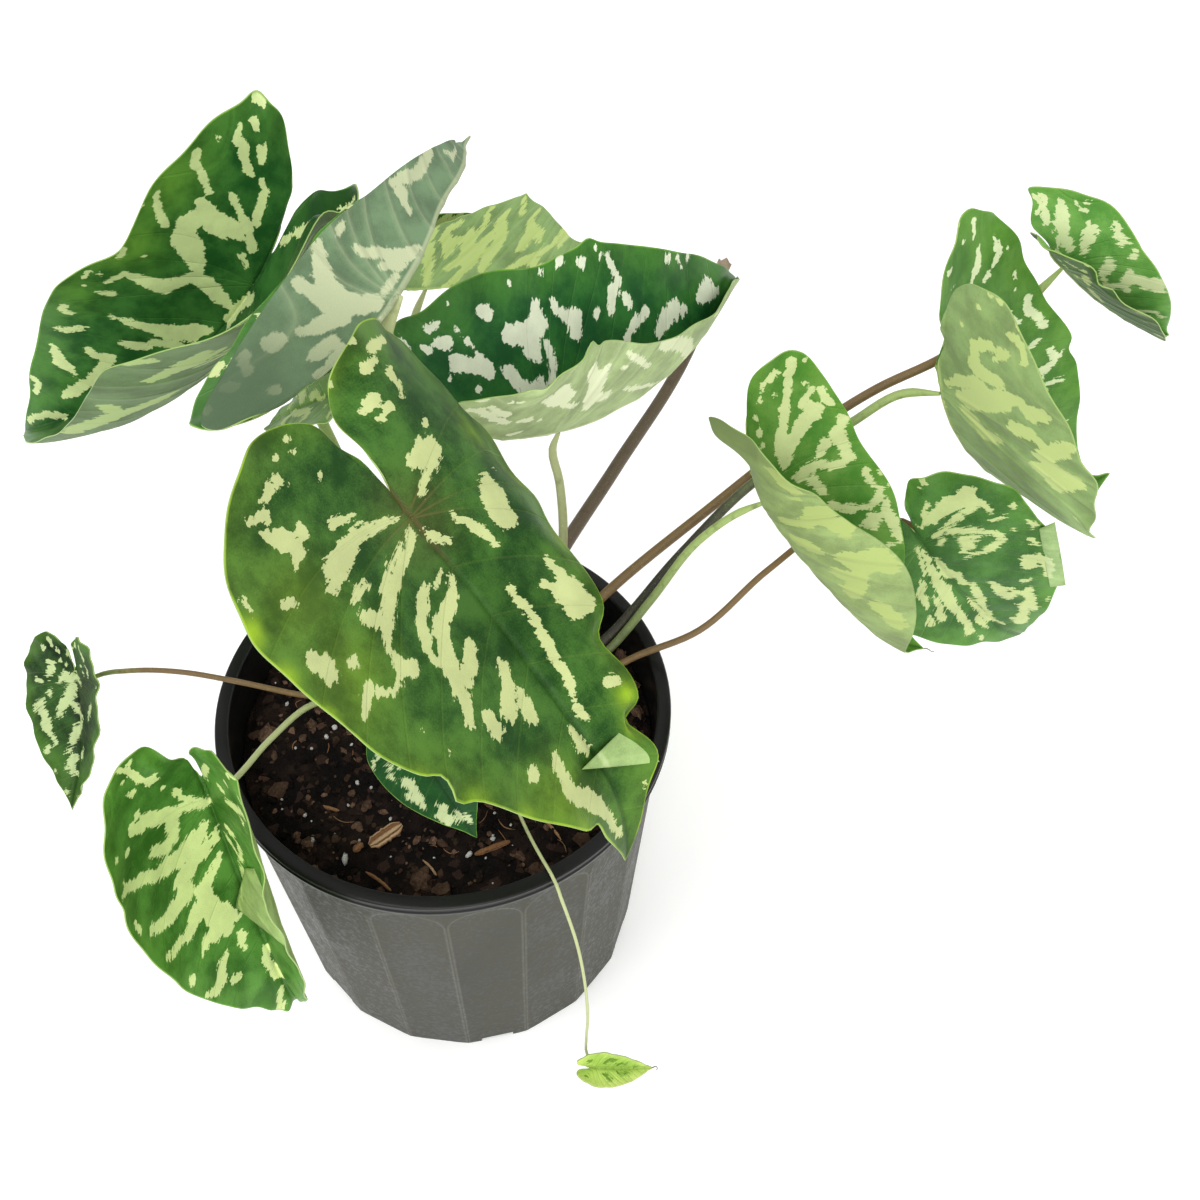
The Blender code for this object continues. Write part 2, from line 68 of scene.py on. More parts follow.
def new_material(name, roughness=0.5, specular=0.5):
    """A Principled material and its node tree."""
    material = bpy.data.materials.new(name)
    material.use_nodes = True
    shader = material.node_tree.nodes["Principled BSDF"]
    shader.inputs["Roughness"].default_value = roughness
    shader.inputs["Specular IOR Level"].default_value = specular
    return material, material.node_tree, shader


def object_from(bm, name, materials=()):
    """Turn a finished bmesh into an object of the scene."""
    mesh = bpy.data.meshes.new(name)
    bm.to_mesh(mesh)
    bm.free()
    for material in materials:
        mesh.materials.append(material)
    made = bpy.data.objects.new(name, mesh)
    scene.collection.objects.link(made)
    return made


WHITE = (1.0, 1.0, 1.0, 1.0)
FLOOR_SIZE = 9.0
FLOOR_DROP = 0.0003          # keeps the floor from showing through the pot's flat feet
floor_paint, _, shader = new_material("floor_paint", roughness=0.9, specular=0.1)
shader.inputs["Base Color"].default_value = (0.93, 0.93, 0.92, 1.0)
shader.inputs["Emission Color"].default_value = WHITE
shader.inputs["Emission Strength"].default_value = 0.16
bm = bmesh.new()
bmesh.ops.create_grid(bm, x_segments=2, y_segments=2, size=FLOOR_SIZE / 2)
bmesh.ops.translate(bm, verts=bm.verts[:], vec=(0.0, 0.0, -FLOOR_DROP))
floor = object_from(bm, "floor", [floor_paint])

world = bpy.data.worlds.new("studio_air")
scene.world = world
world.use_nodes = True
world.node_tree.nodes["Background"].inputs["Color"].default_value = WHITE
world.node_tree.nodes["Background"].inputs["Strength"].default_value = 0.92
LIGHTS_AIM = (0.05, 0.05, 0.2)
for name, place, size, power in (("key_light", (-0.9, -0.5, 1.9), 1.1, 13.0),
                                 ("fill_light", (1.5, 0.6, 1.5), 1.4, 6.0),
                                 ("front_light", (-0.2, -2.0, 1.3), 1.6, 24.0)):
    lamp = bpy.data.lights.new(name, "AREA")
    lamp.shape = "DISK"
    lamp.size = size
    lamp.energy = power
    light = bpy.data.objects.new(name, lamp)
    scene.collection.objects.link(light)
    light.location = place
    light.rotation_euler = (Vector(LIGHTS_AIM) - Vector(place)).to_track_quat("-Z", "Y").to_euler()

CAMERA_PLACE = (0.0, -0.4137, 0.7695)
CAMERA_DOWN = 51.77          # degrees below the horizon
CAMERA_YAW = 9.75            # degrees to the right of straight back
camera = bpy.data.objects.new("camera", bpy.data.cameras.new("camera"))
scene.collection.objects.link(camera)
scene.camera = camera
camera.data.lens = 48.0
camera.data.sensor_width = 36.0
camera.data.clip_start = 0.01
camera.location = CAMERA_PLACE
camera.rotation_euler = Euler((math.radians(90.0 - CAMERA_DOWN), 0.0, math.radians(-CAMERA_YAW)))

# ---------------------------------------------------------------------------------------------
# Pot: one black injection-moulded nursery pot, with a rolled lip over a tapered wall that is
# pressed into eighteen flat panels with arched tops. Dust and hard water have greyed the outside,
# except for a painted shadow that keeps it black under the lip; painted highlights line the ribs and lip
# beads.
POT_TOP_RADIUS = 0.102       # 204 mm across the lip
POT_BASE_RADIUS = 0.0853
POT_HEIGHT = 0.177
LIP_HEIGHT = 0.0065
LIP_WIDTH = 0.0065
LIP_ROUND = 0.0012
WALL_TOP_RADIUS = 0.0983
WALL = 0.0015
POT_FLOOR = 0.0018
POT_STEPS = 144
PANELS = 18
PANEL_PHASE = 13.0           # degrees
PANEL_SHARE = 0.955          # of a panel's width that is pressed flat
ARCH_START = 0.147
ARCH_TOP = 0.162
ARCH_STEPS = 24
DRAINS = 6
DRAIN_PHASE = -87.0          # degrees
DRAIN_SIZE = (0.014, 0.016, 0.006)
OVERRUN = 0.004              # a cutter reaches this far past what it cuts
SOFT_EDGE = 0.00025


def wall_radius(height):
    share = height / (POT_HEIGHT - LIP_HEIGHT)
    return POT_BASE_RADIUS + (WALL_TOP_RADIUS - POT_BASE_RADIUS) * share


def bore_radius(height):
    return wall_radius(height) * math.cos(math.pi / PANELS) - WALL


def piece_from(bm, name, materials, stands_for=()):
    """A piece of the plant from a finished bmesh. It rides on the plant's only body."""
    piece = object_from(bm, name, materials)
    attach(piece, "root")
    if stands_for:
        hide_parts(*stands_for)
    return piece


def turned(profile, steps):
    """A bmesh spun from an open profile of (radius, height) that starts and ends on the axis."""
    bm = bmesh.new()
    verts = [bm.verts.new((radius, 0.0, height)) for radius, height in profile]
    edges = [bm.edges.new(pair) for pair in zip(verts, verts[1:])]
    bmesh.ops.spin(bm, geom=verts + edges, cent=(0.0, 0.0, 0.0), axis=(0.0, 0.0, 1.0),
                   angle=2.0 * math.pi, steps=steps, use_merge=True)
    bmesh.ops.remove_doubles(bm, verts=bm.verts[:], dist=1e-5)
    bmesh.ops.recalc_face_normals(bm, faces=bm.faces[:])
    return bm


def cut_away(piece, cutter_bm, name):
    """Take a cutter's space out of a piece for good."""
    bmesh.ops.recalc_face_normals(cutter_bm, faces=cutter_bm.faces[:])
    cutter = object_from(cutter_bm, name)
    difference = piece.modifiers.new(name, "BOOLEAN")
    difference.operation = "DIFFERENCE"
    difference.solver = "EXACT"
    difference.object = cutter
    settle(piece)
    bpy.data.objects.remove(cutter, do_unlink=True)


def settle(piece):
    """Apply a piece's modifiers."""
    graph = bpy.context.evaluated_depsgraph_get()
    mesh = bpy.data.meshes.new_from_object(piece.evaluated_get(graph))
    piece.modifiers.clear()
    piece.data = mesh


lip_under = POT_HEIGHT - LIP_HEIGHT
bore_top = lip_under - 0.0045
inner_edge = POT_TOP_RADIUS - LIP_WIDTH
pot_profile = [
    (0.0, POT_FLOOR), (bore_radius(0.0) - POT_FLOOR, POT_FLOOR),
    (bore_radius(2 * POT_FLOOR), 2 * POT_FLOOR), (bore_radius(bore_top), bore_top),
    (inner_edge - 0.0004, bore_top + LIP_ROUND), (inner_edge, POT_HEIGHT - LIP_ROUND),
    (inner_edge + 0.0003, POT_HEIGHT - 0.0004), (inner_edge + 0.0010, POT_HEIGHT),
    (POT_TOP_RADIUS - LIP_ROUND, POT_HEIGHT), (POT_TOP_RADIUS - 0.0005, POT_HEIGHT - 0.0003),
    (POT_TOP_RADIUS - 0.0001, POT_HEIGHT - 0.0008), (POT_TOP_RADIUS, POT_HEIGHT - 0.0014),
    (POT_TOP_RADIUS - 0.0005, POT_HEIGHT - 0.0022), (POT_TOP_RADIUS - 0.0006, lip_under + 0.0024),
    (POT_TOP_RADIUS, lip_under + 0.0016), (POT_TOP_RADIUS - 0.0002, lip_under + 0.0004),
    (POT_TOP_RADIUS - 0.0010, lip_under), (WALL_TOP_RADIUS + 0.0006, lip_under),
    (WALL_TOP_RADIUS + 0.0001, lip_under - 0.0004), (WALL_TOP_RADIUS, lip_under - 0.0010),
    (wall_radius(0.0008), 0.0008), (POT_BASE_RADIUS - 0.0008, 0.0), (0.0, 0.0)]


def object_place(tree):
    """Where a shaded point lies, in its object's own coordinates."""
    return node(tree, "ShaderNodeTexCoord").outputs["Object"]


def maths(tree, operation, *values, clamp=False):
    """Output of a Math node on values or sockets."""
    made = tree.nodes.new("ShaderNodeMath")
    made.operation = operation
    made.use_clamp = clamp
    for socket, value in zip(made.inputs, values):
        if isinstance(value, bpy.types.NodeSocket):
            tree.links.new(value, socket)
        else:
            socket.default_value = value
    return made.outputs[0]


def eased(tree, value, low, high, start=0.0, end=1.0):
    """A value's smooth step from start to end between low and high."""
    made = node(tree, "ShaderNodeMapRange", {"interpolation_type": "SMOOTHSTEP"}, Value=value)
    made.inputs["From Min"].default_value = low
    made.inputs["From Max"].default_value = high
    made.inputs["To Min"].default_value = start
    made.inputs["To Max"].default_value = end
    return made.outputs["Result"]


def blended(tree, share, first, second):
    """Two colours mixed by a share."""
    made = node(tree, "ShaderNodeMix", {"data_type": "RGBA"})
    for number, value in ((0, share), (6, first), (7, second)):
        if isinstance(value, bpy.types.NodeSocket):
            tree.links.new(value, made.inputs[number])
        elif number:
            made.inputs[number].default_value = (*value, 1.0)
        else:
            made.inputs[number].default_value = value
    return made.outputs[2]


def cloud(tree, vector, scale, detail=4.0, roughness=0.55):
    """A soft noise from 0 to 1."""
    return node(tree, "ShaderNodeTexNoise", Vector=vector, Scale=scale, Detail=detail,
                Roughness=roughness).outputs[0]


def bumped(tree, shader, height, distance):
    """Raise a shader's surface by a height that changes over it."""
    bump = node(tree, "ShaderNodeBump", Height=height, Distance=distance)
    tree.links.new(bump.outputs["Normal"], shader.inputs["Normal"])


pot_plastic, tree, shader = new_material("pot_plastic", roughness=0.42, specular=0.22)
place = object_place(tree)
axes = node(tree, "ShaderNodeSeparateXYZ", Vector=place)
around = maths(tree, "ARCTAN2", axes.outputs["Y"], axes.outputs["X"])
in_panel = maths(tree, "PINGPONG", maths(tree, "SUBTRACT", around,
                 math.radians(PANEL_PHASE) - math.pi / PANELS - 2 * math.pi), math.pi / PANELS)
reach = maths(tree, "SQRT", maths(tree, "ADD", maths(tree, "POWER", axes.outputs["X"], 2.0),
              maths(tree, "POWER", axes.outputs["Y"], 2.0)))
flat_radius = math.cos(math.pi / PANELS)
wall_lean = (WALL_TOP_RADIUS - POT_BASE_RADIUS) / lip_under * flat_radius
mid_wall = POT_BASE_RADIUS * flat_radius - WALL / 2
outside = eased(tree, maths(tree, "SUBTRACT", reach, maths(tree, "MULTIPLY", axes.outputs["Z"],
                wall_lean)), mid_wall - 0.0002, mid_wall + 0.0002)
# Painted shadow: the wall is kept black, without dust, for a few millimetres under the lip.
clear_of_lip_shadow = eased(tree, axes.outputs["Z"], lip_under - 0.0015, lip_under - 0.0060)
across = maths(tree, "SUBTRACT", 1.0 / PANEL_SHARE, maths(tree, "MULTIPLY", in_panel,
               PANELS / math.pi / PANEL_SHARE))
into_arch = maths(tree, "MULTIPLY", maths(tree, "MAXIMUM", maths(tree, "SUBTRACT",
                  axes.outputs["Z"], ARCH_START), 0.0), 1.0 / (ARCH_TOP - ARCH_START))
from_edge = maths(tree, "SUBTRACT", maths(tree, "SQRT", maths(tree, "ADD",
                  maths(tree, "POWER", across, 2.0), maths(tree, "POWER", into_arch, 2.0))), 1.0)
rib = eased(tree, maths(tree, "ABSOLUTE", from_edge), 0.050, 0.012)
film = cloud(tree, place, 28.0, detail=6.0, roughness=0.62)
specks = cloud(tree, place, 420.0, detail=5.0, roughness=0.7)
streak_map = node(tree, "ShaderNodeMapping", Vector=place, Scale=(90.0, 90.0, 9.0))
streaks = cloud(tree, streak_map.outputs[0], 1.0, detail=4.0)
dust_and_lip_shadow = maths(tree, "MULTIPLY", maths(tree, "MULTIPLY", outside, clear_of_lip_shadow),
             maths(tree, "ADD", eased(tree, film, 0.32, 0.68, 0.40, 1.00),
                   maths(tree, "MULTIPLY", eased(tree, streaks, 0.4, 0.75), 0.25)))
dust_and_lip_shadow = maths(tree, "MULTIPLY", dust_and_lip_shadow, eased(tree, specks, 0.38, 0.62, 0.35, 1.50))
lip_dust = maths(tree, "MULTIPLY", eased(tree, film, 0.5, 0.85), 0.10)
dust_and_lip_shadow = maths(tree, "MAXIMUM", dust_and_lip_shadow, lip_dust, clamp=True)
colour = blended(tree, dust_and_lip_shadow, (0.0060, 0.0060, 0.0060), (0.053, 0.053, 0.038))
# Painted highlights: thin lighter lines along the ribs between the panels and round the arch tops.
rib_highlight = maths(tree, "MULTIPLY", maths(tree, "MULTIPLY", rib, outside), clear_of_lip_shadow)
colour = blended(tree, maths(tree, "MULTIPLY", rib_highlight, 0.5), colour, (0.115, 0.115, 0.093))
# Painted highlights, partly rubbed wear: a thin lighter line along each of the lip's two beads.
for bead in (POT_HEIGHT - 0.0012, lip_under + 0.0014):
    bead_highlight_and_wear = eased(tree, maths(tree, "ABSOLUTE", maths(tree, "SUBTRACT", axes.outputs["Z"], bead)),
                 0.0006, 0.0001)
    bead_highlight_and_wear = maths(tree, "MULTIPLY", bead_highlight_and_wear, eased(tree, reach, POT_TOP_RADIUS - 0.0012, POT_TOP_RADIUS))
    colour = blended(tree, maths(tree, "MULTIPLY", bead_highlight_and_wear, 0.5), colour, (0.085, 0.085, 0.080))
tree.links.new(colour, shader.inputs["Base Color"])
tree.links.new(maths(tree, "ADD", maths(tree, "MULTIPLY", dust_and_lip_shadow, 0.35), 0.30),
               shader.inputs["Roughness"])
bumped(tree, shader, maths(tree, "ADD", specks, maths(tree, "MULTIPLY", film, 2.0)), 0.0001)

pot = piece_from(turned(pot_profile, POT_STEPS), "nursery_pot", [pot_plastic], ["pot"])
half_angle = math.pi / PANELS
lean = math.atan2(wall_radius(POT_HEIGHT) - POT_BASE_RADIUS, POT_HEIGHT)
stand = Matrix.Rotation(math.pi / 2, 4, "Z") @ Matrix.Rotation(math.pi / 2 + lean, 4, "X")
foot_half = POT_BASE_RADIUS * math.tan(half_angle * PANEL_SHARE)
arch_half = wall_radius(ARCH_START) * math.tan(half_angle * PANEL_SHARE)
panel_outline = [(-foot_half, -OVERRUN), (foot_half, -OVERRUN)]
for step in range(ARCH_STEPS + 1):
    turn = math.pi * step / ARCH_STEPS
    panel_outline.append((arch_half * math.cos(turn),
                          ARCH_START + (ARCH_TOP - ARCH_START) * math.sin(turn)))
bm = bmesh.new()
for number in range(PANELS):
    corners = [bm.verts.new((x, y, 0.0)) for x, y in panel_outline]
    prism = bmesh.ops.extrude_face_region(bm, geom=[bm.faces.new(corners)])
    raised = [part for part in prism["geom"] if isinstance(part, bmesh.types.BMVert)]
    bmesh.ops.translate(bm, verts=raised, vec=(0.0, 0.0, 3 * OVERRUN))
    direction = Matrix.Rotation(math.radians(PANEL_PHASE) + 2 * number * half_angle, 4, "Z")
    out = Matrix.Translation((POT_BASE_RADIUS * math.cos(half_angle), 0.0, 0.0))
    bmesh.ops.transform(bm, matrix=direction @ out @ stand, verts=corners + raised)
cut_away(pot, bm, "panel_cutter")
bm = bmesh.new()
for number in range(DRAINS):
    block = bmesh.ops.create_cube(bm, size=1.0)["verts"]
    spot = Matrix.Rotation(math.radians(DRAIN_PHASE + number * 360.0 / DRAINS), 4, "Z")
    spot = spot @ Matrix.Translation((POT_BASE_RADIUS, 0.0, 0.0))
    bmesh.ops.transform(bm, matrix=spot @ Matrix.Diagonal((*DRAIN_SIZE, 1.0)), verts=block)
cut_away(pot, bm, "drain_cutter")
soften = pot.modifiers.new("soft_edges", "BEVEL")
soften.width = SOFT_EDGE
soften.segments = 2
soften.limit_method = "ANGLE"
soften.angle_limit = math.radians(25.0)
soften.use_clamp_overlap = True
settle(pot)
pot.data.shade_smooth()
pot.data.set_sharp_from_angle(angle=math.radians(32.0))

# ---------------------------------------------------------------------------------------------
# Potting mix: damp dark peat with lumps of composted bark. It settles a little at the wall.
SOIL_LEVEL = 0.1555
SOIL_EDGE_DROP = 0.003
SOIL_DEPTH = 0.012
SOIL_RINGS = 110
SOIL_SPOKES = 420
WALL_GAP = 0.0004
LUMP_RISE, CRUMB_RISE, WAVE_RISE = 0.0022, 0.0009, 0.0012
LUMP_PITCH, CRUMB_PITCH, WAVE_PITCH = 150.0, 420.0, 45.0     # in a metre
soil_edge = bore_radius(SOIL_LEVEL - SOIL_EDGE_DROP) - WALL_GAP


def soil_height(x, y):
    """Height of the mix: lumps of bark over finer crumbs."""
    out = min(math.hypot(x, y) / soil_edge, 1.0)
    level = SOIL_LEVEL - SOIL_EDGE_DROP * max(0.0, (out - 0.7) / 0.3) ** 2
    spot = Vector((x, y, 0.0))
    far, _ = noise.voronoi(spot * LUMP_PITCH)
    lumps = 1.0 - min(far[0] * 1.7, 1.0)
    near, _ = noise.voronoi(spot * CRUMB_PITCH + Vector((5.0, 3.0, 1.0)))
    crumbs = 1.0 - min(near[0] * 1.7, 1.0)
    waves = noise.noise(spot * WAVE_PITCH)
    return level - WAVE_RISE + LUMP_RISE * lumps * (0.5 + waves) + CRUMB_RISE * crumbs + WAVE_RISE * waves


soil, tree, shader = new_material("damp_mix", roughness=0.85, specular=0.10)
place = object_place(tree)
lumps = node(tree, "ShaderNodeTexVoronoi", Vector=place, Scale=260.0)
tint = cloud(tree, place, 60.0, detail=5.0)
grit = cloud(tree, place, 900.0, detail=3.0)
colour = blended(tree, eased(tree, tint, 0.40, 0.75), (0.0050, 0.0036, 0.0032), (0.020, 0.0115, 0.0085))
lump_tint = node(tree, "ShaderNodeSeparateColor", Color=lumps.outputs["Color"]).outputs[0]
colour = blended(tree, eased(tree, lump_tint, 0.80, 0.97, 0.0, 0.5), colour, (0.060, 0.032, 0.023))
colour = blended(tree, eased(tree, grit, 0.62, 0.8, 0.0, 0.35), colour, (0.11, 0.070, 0.050))
tree.links.new(colour, shader.inputs["Base Color"])
bumped(tree, shader, maths(tree, "ADD", grit, cloud(tree, place, 300.0)), 0.0012)

bm = bmesh.new()
bmesh.ops.create_grid(bm, x_segments=SOIL_SPOKES, y_segments=SOIL_RINGS, size=0.5)
for vert in bm.verts:
    turn = 2.0 * math.pi * (vert.co.x + 0.5)
    out = (vert.co.y + 0.5) * soil_edge
    x, y = out * math.cos(turn), out * math.sin(turn)
    vert.co = (x, y, soil_height(x, y))
bmesh.ops.remove_doubles(bm, verts=bm.verts[:], dist=1e-5)
bmesh.ops.recalc_face_normals(bm, faces=bm.faces[:])
rim = [edge for edge in bm.edges if edge.is_boundary]
skirt = bmesh.ops.extrude_edge_only(bm, edges=rim)["geom"]
lowered = [part for part in skirt if isinstance(part, bmesh.types.BMVert)]
for vert in lowered:
    vert.co.z = SOIL_LEVEL - SOIL_DEPTH
bmesh.ops.contextual_create(bm, geom=[part for part in skirt if isinstance(part, bmesh.types.BMEdge)])
bmesh.ops.recalc_face_normals(bm, faces=bm.faces[:])
mix = piece_from(bm, "bark_mix", [soil], ["potting_mix"])
mix.data.shade_smooth()

# ---------------------------------------------------------------------------------------------
# Loose bits on the mix: bark crumbs and lumps, a fluted flake and splinters of pine bark, a few
# twigs and root hairs, and white grains of perlite. They lie loose, most of them strewn by chance.
MM = 0.001
dice = random.Random(11)
CRUMBS, LUMPS, GRAINS, ROOT_HAIRS = 1250, 130, 46, 40
CROWN_MIDDLE = (0.022, 0.002)
CROWN_CLEAR = 0.0085         # no crumbs within this distance of the crown's middle


def swept(bm, places, radius_at, sides, squash=1.0):
    """Extrude a tube through places in a bmesh. Returns a ring of vertices for each place."""
    ring = bmesh.ops.create_circle(bm, segments=sides, radius=1.0, cap_ends=True)["verts"]
    flat_ring = [vert.co.copy() for vert in ring]
    edges = list(dict.fromkeys(edge for vert in ring for edge in vert.link_edges))
    facing, before = Matrix.Identity(3), Vector((0.0, 0.0, 1.0))
    rings = []
    for number, place in enumerate(places):
        ahead = (places[min(number + 1, len(places) - 1)] - places[max(number - 1, 0)]).normalized()
        facing = before.rotation_difference(ahead).to_matrix() @ facing
        before = ahead
        if number:
            grown = bmesh.ops.extrude_edge_only(bm, edges=edges)["geom"]
            new_verts = {part for part in grown if isinstance(part, bmesh.types.BMVert)}
            pairs = {vert: edge.other_vert(vert) for vert in ring for edge in vert.link_edges
                     if edge.other_vert(vert) in new_verts}
            ring = [pairs[vert] for vert in ring]
            edges = [part for part in grown if isinstance(part, bmesh.types.BMEdge)
                     and all(vert in new_verts for vert in part.verts)]
        for vert, round_place in zip(ring, flat_ring):
            offset = facing @ (round_place * radius_at(number))
            vert.co = place + Vector((offset.x, offset.y, offset.z * squash))
        rings.append(ring)
    bmesh.ops.contextual_create(bm, geom=edges)
    return rings


def on_mix(x, y, lift=0.0):
    return Vector((x, y, soil_height(x, y) + lift))


def crumb(bm, tint_layer, place, size, fineness, rough, tint):
    """A rough lump, long, wide and high by size, lying at a random slant."""
    made = bmesh.ops.create_icosphere(bm, subdivisions=fineness, radius=0.5)["verts"]
    lie = Euler((dice.uniform(-0.5, 0.5), dice.uniform(-0.5, 0.5), dice.uniform(0.0, 6.3))).to_matrix()
    spin = Euler((dice.uniform(0.0, 6.3), dice.uniform(0.0, 6.3), 0.0)).to_matrix()
    drift = Vector((dice.uniform(0.0, 50.0), 0.0, 0.0))
    for vert in made:
        shape = spin @ vert.co
        shape *= 1.0 + rough * 2.0 * noise.noise(vert.co * 3.0 + drift)
        vert.co = place + lie @ Vector((shape.x * size[0], shape.y * size[1], shape.z * size[2]))
        vert[tint_layer] = tint


def scattered():
    """A random place on the mix, clear of the crown and the wall."""
    while True:
        out, turn = math.sqrt(dice.random()) * (soil_edge - 0.0030), dice.uniform(0.0, 2.0 * math.pi)
        x, y = out * math.cos(turn), out * math.sin(turn)
        if math.hypot(x - CROWN_MIDDLE[0], y - CROWN_MIDDLE[1]) > CROWN_CLEAR:
            return x, y


def uneven(tree, value, noise_value, strength):
    """A value moved up and down by a noise."""
    return maths(tree, "ADD", value, maths(tree, "MULTIPLY",
                 maths(tree, "SUBTRACT", noise_value, 0.5), strength))


bark, tree, shader = new_material("loose_bark", roughness=0.82, specular=0.10)
tint = node(tree, "ShaderNodeAttribute", {"attribute_name": "tint"}).outputs["Fac"]
place = object_place(tree)
patches = cloud(tree, place, 700.0, detail=5.0, roughness=0.65)
shade = uneven(tree, tint, patches, 0.7)
colour = blended(tree, eased(tree, shade, 0.15, 0.60), (0.0045, 0.0032, 0.0025), (0.066, 0.038, 0.024))
colour = blended(tree, eased(tree, shade, 0.55, 0.95), colour, (0.215, 0.130, 0.085))
tree.links.new(colour, shader.inputs["Base Color"])
bumped(tree, shader, patches, 0.0012)

bm = bmesh.new()
tint_layer = bm.verts.layers.float.new("tint")
for number in range(CRUMBS):
    x, y = scattered()
    size = 0.0012 + 0.0028 * dice.random() ** 2.2
    crumb(bm, tint_layer, on_mix(x, y, size * 0.12), (size * dice.uniform(1.0, 1.6), size,
          size * dice.uniform(0.5, 0.9)), 1, 0.35, dice.random() ** 1.6 * 0.85)
for number in range(LUMPS):
    x, y = scattered()
    size = dice.uniform(0.0030, 0.0055)
    crumb(bm, tint_layer, on_mix(x, y, 0.0003), (size * dice.uniform(1.0, 1.7), size,
          size * dice.uniform(0.45, 0.7)), 2, 0.35, dice.uniform(0.10, 0.75))
for x, y, size, tint_value in ((-0.020, -0.074, 0.0085, 0.62), (-0.012, -0.080, 0.0075, 0.55),
                               (0.088, 0.012, 0.0070, 0.75), (0.088, -0.005, 0.0060, 0.70),
                               (0.086, 0.028, 0.0065, 0.66), (-0.082, 0.012, 0.0085, 0.72),
                               (-0.078, -0.018, 0.0075, 0.55), (-0.058, -0.068, 0.0070, 0.60),
                               (0.030, -0.078, 0.0070, 0.58), (0.052, -0.066, 0.0060, 0.50)):
    crumb(bm, tint_layer, on_mix(x, y, 0.0006), (size * 1.25, size, size * 0.55), 2, 0.4, tint_value)
piece_from(bm, "bark_crumbs", [bark])

perlite, tree, shader = new_material("perlite", roughness=0.75, specular=0.4)
place = object_place(tree)
pits = cloud(tree, place, 2600.0, detail=3.0, roughness=0.7)
tree.links.new(blended(tree, eased(tree, pits, 0.35, 0.60), (0.46, 0.44, 0.40), (0.86, 0.86, 0.84)),
               shader.inputs["Base Color"])
bumped(tree, shader, pits, 0.0010)
bm = bmesh.new()
tint_layer = bm.verts.layers.float.new("tint")
for x, y, size in ((-72, 28, 1.6), (-43, -21, 1.7), (-37, -25, 1.3), (-67, -34, 1.9), (-65, -47, 2.4),
                   (-44, 0, 1.2), (2, -66, 2.4), (13, -60, 2.0), (22, -54, 1.2), (-30, -42, 1.4),
                   (-55, 6, 2.0), (-51, 10, 2.4), (34, 74, 1.5), (62, 46, 1.8)):
    crumb(bm, tint_layer, on_mix(x * MM, y * MM, size * 0.35 * MM), (size * 1.3 * MM, size * MM, size * MM),
          2, 0.25, 1.0)
crumb(bm, tint_layer, on_mix(-0.051, -0.059, 0.0012), (0.0052, 0.0026, 0.0024), 2, 0.3, 1.0)
for number in range(GRAINS):
    x, y = scattered()
    size = dice.uniform(0.0006, 0.0015)
    crumb(bm, tint_layer, on_mix(x, y, size * 0.3), (size * 1.2, size, size * 0.9), 1, 0.25, 1.0)
grains = piece_from(bm, "perlite_grains", [perlite])
grains.data.shade_smooth()

wood, tree, shader = new_material("bark_splinters", roughness=0.7, specular=0.3)
stripe = node(tree, "ShaderNodeAttribute", {"attribute_name": "tint"}).outputs["Fac"]
place = object_place(tree)
fibres = cloud(tree, place, 1500.0, detail=4.0, roughness=0.7)
shade = uneven(tree, stripe, fibres, 0.8)
colour = blended(tree, eased(tree, shade, 0.0, 0.35), (0.040, 0.020, 0.011), (0.250, 0.115, 0.045))
colour = blended(tree, eased(tree, shade, 0.35, 0.85), colour, (0.560, 0.400, 0.230))
tree.links.new(colour, shader.inputs["Base Color"])
bumped(tree, shader, fibres, 0.0008)
bm = bmesh.new()
tint_layer = bm.verts.layers.float.new("tint")


def splinter(start, end, width, thick, tint, contrast, sides, bow=0.0):
    """A splinter or twig from start to end on the mix (mm), striped along its length."""
    start, end = Vector((*start, 0.0)) * MM, Vector((*end, 0.0)) * MM
    count = max(5, round((end - start).length / 0.0012))
    side_step = Vector((start.y - end.y, end.x - start.x, 0.0)).normalized()
    places, widths = [], []
    for number in range(count + 1):
        share = number / count
        spot = start.lerp(end, share) + side_step * bow * MM * math.sin(math.pi * share)
        places.append(Vector((spot.x, spot.y, 0.0)))
        taper = min(1.0, 0.35 + 4.0 * share, 0.35 + 4.0 * (1.0 - share))
        widths.append(0.5 * width * MM * taper * dice.uniform(0.85, 1.12))
    lift = max(soil_height(place.x, place.y) for place in places) * 0.5
    lift += 0.5 * sum(soil_height(place.x, place.y) for place in places) / len(places)
    for place in places:
        place.z = lift + 0.35 * thick * MM
    stripes = [min(1.0, max(0.0, tint + contrast * dice.uniform(-1.0, 1.0))) for _ in range(sides)]
    for ring in swept(bm, places, lambda number: widths[number], sides, thick / width):
        for vert, shade in zip(ring, stripes):
            vert[tint_layer] = shade
            vert.co.z += 0.12 * thick * MM * (shade - 0.5)


for chip in (((-40.0, -54.5), (-25.5, -46.0), 7.5, 2.6, 0.50, 0.45, 26),     # the fluted flake
             ((-47.0, -57.0), (-43.0, -53.5), 3.4, 2.6, 0.32, 0.15, 10),
             ((4.5, -66.5), (20.5, -62.5), 3.0, 1.8, 0.40, 0.30, 14),
             ((33.0, -51.0), (42.5, -66.0), 1.3, 1.1, 0.48, 0.12, 8, 1.2),
             ((-18.0, -65.0), (-13.0, -73.5), 1.1, 1.0, 0.62, 0.12, 8, 0.5),
             ((-43.0, -66.0), (-33.0, -77.0), 1.6, 1.3, 0.34, 0.20, 8, 0.6),
             ((-60.0, -30.0), (-52.0, -34.0), 1.8, 1.2, 0.30, 0.20, 8),
             ((70.0, 40.0), (80.0, 33.0), 2.4, 1.5, 0.36, 0.25, 10),
             ((-20.0, 70.0), (-6.0, 76.0), 2.8, 1.7, 0.42, 0.30, 12)):
    splinter(*chip)
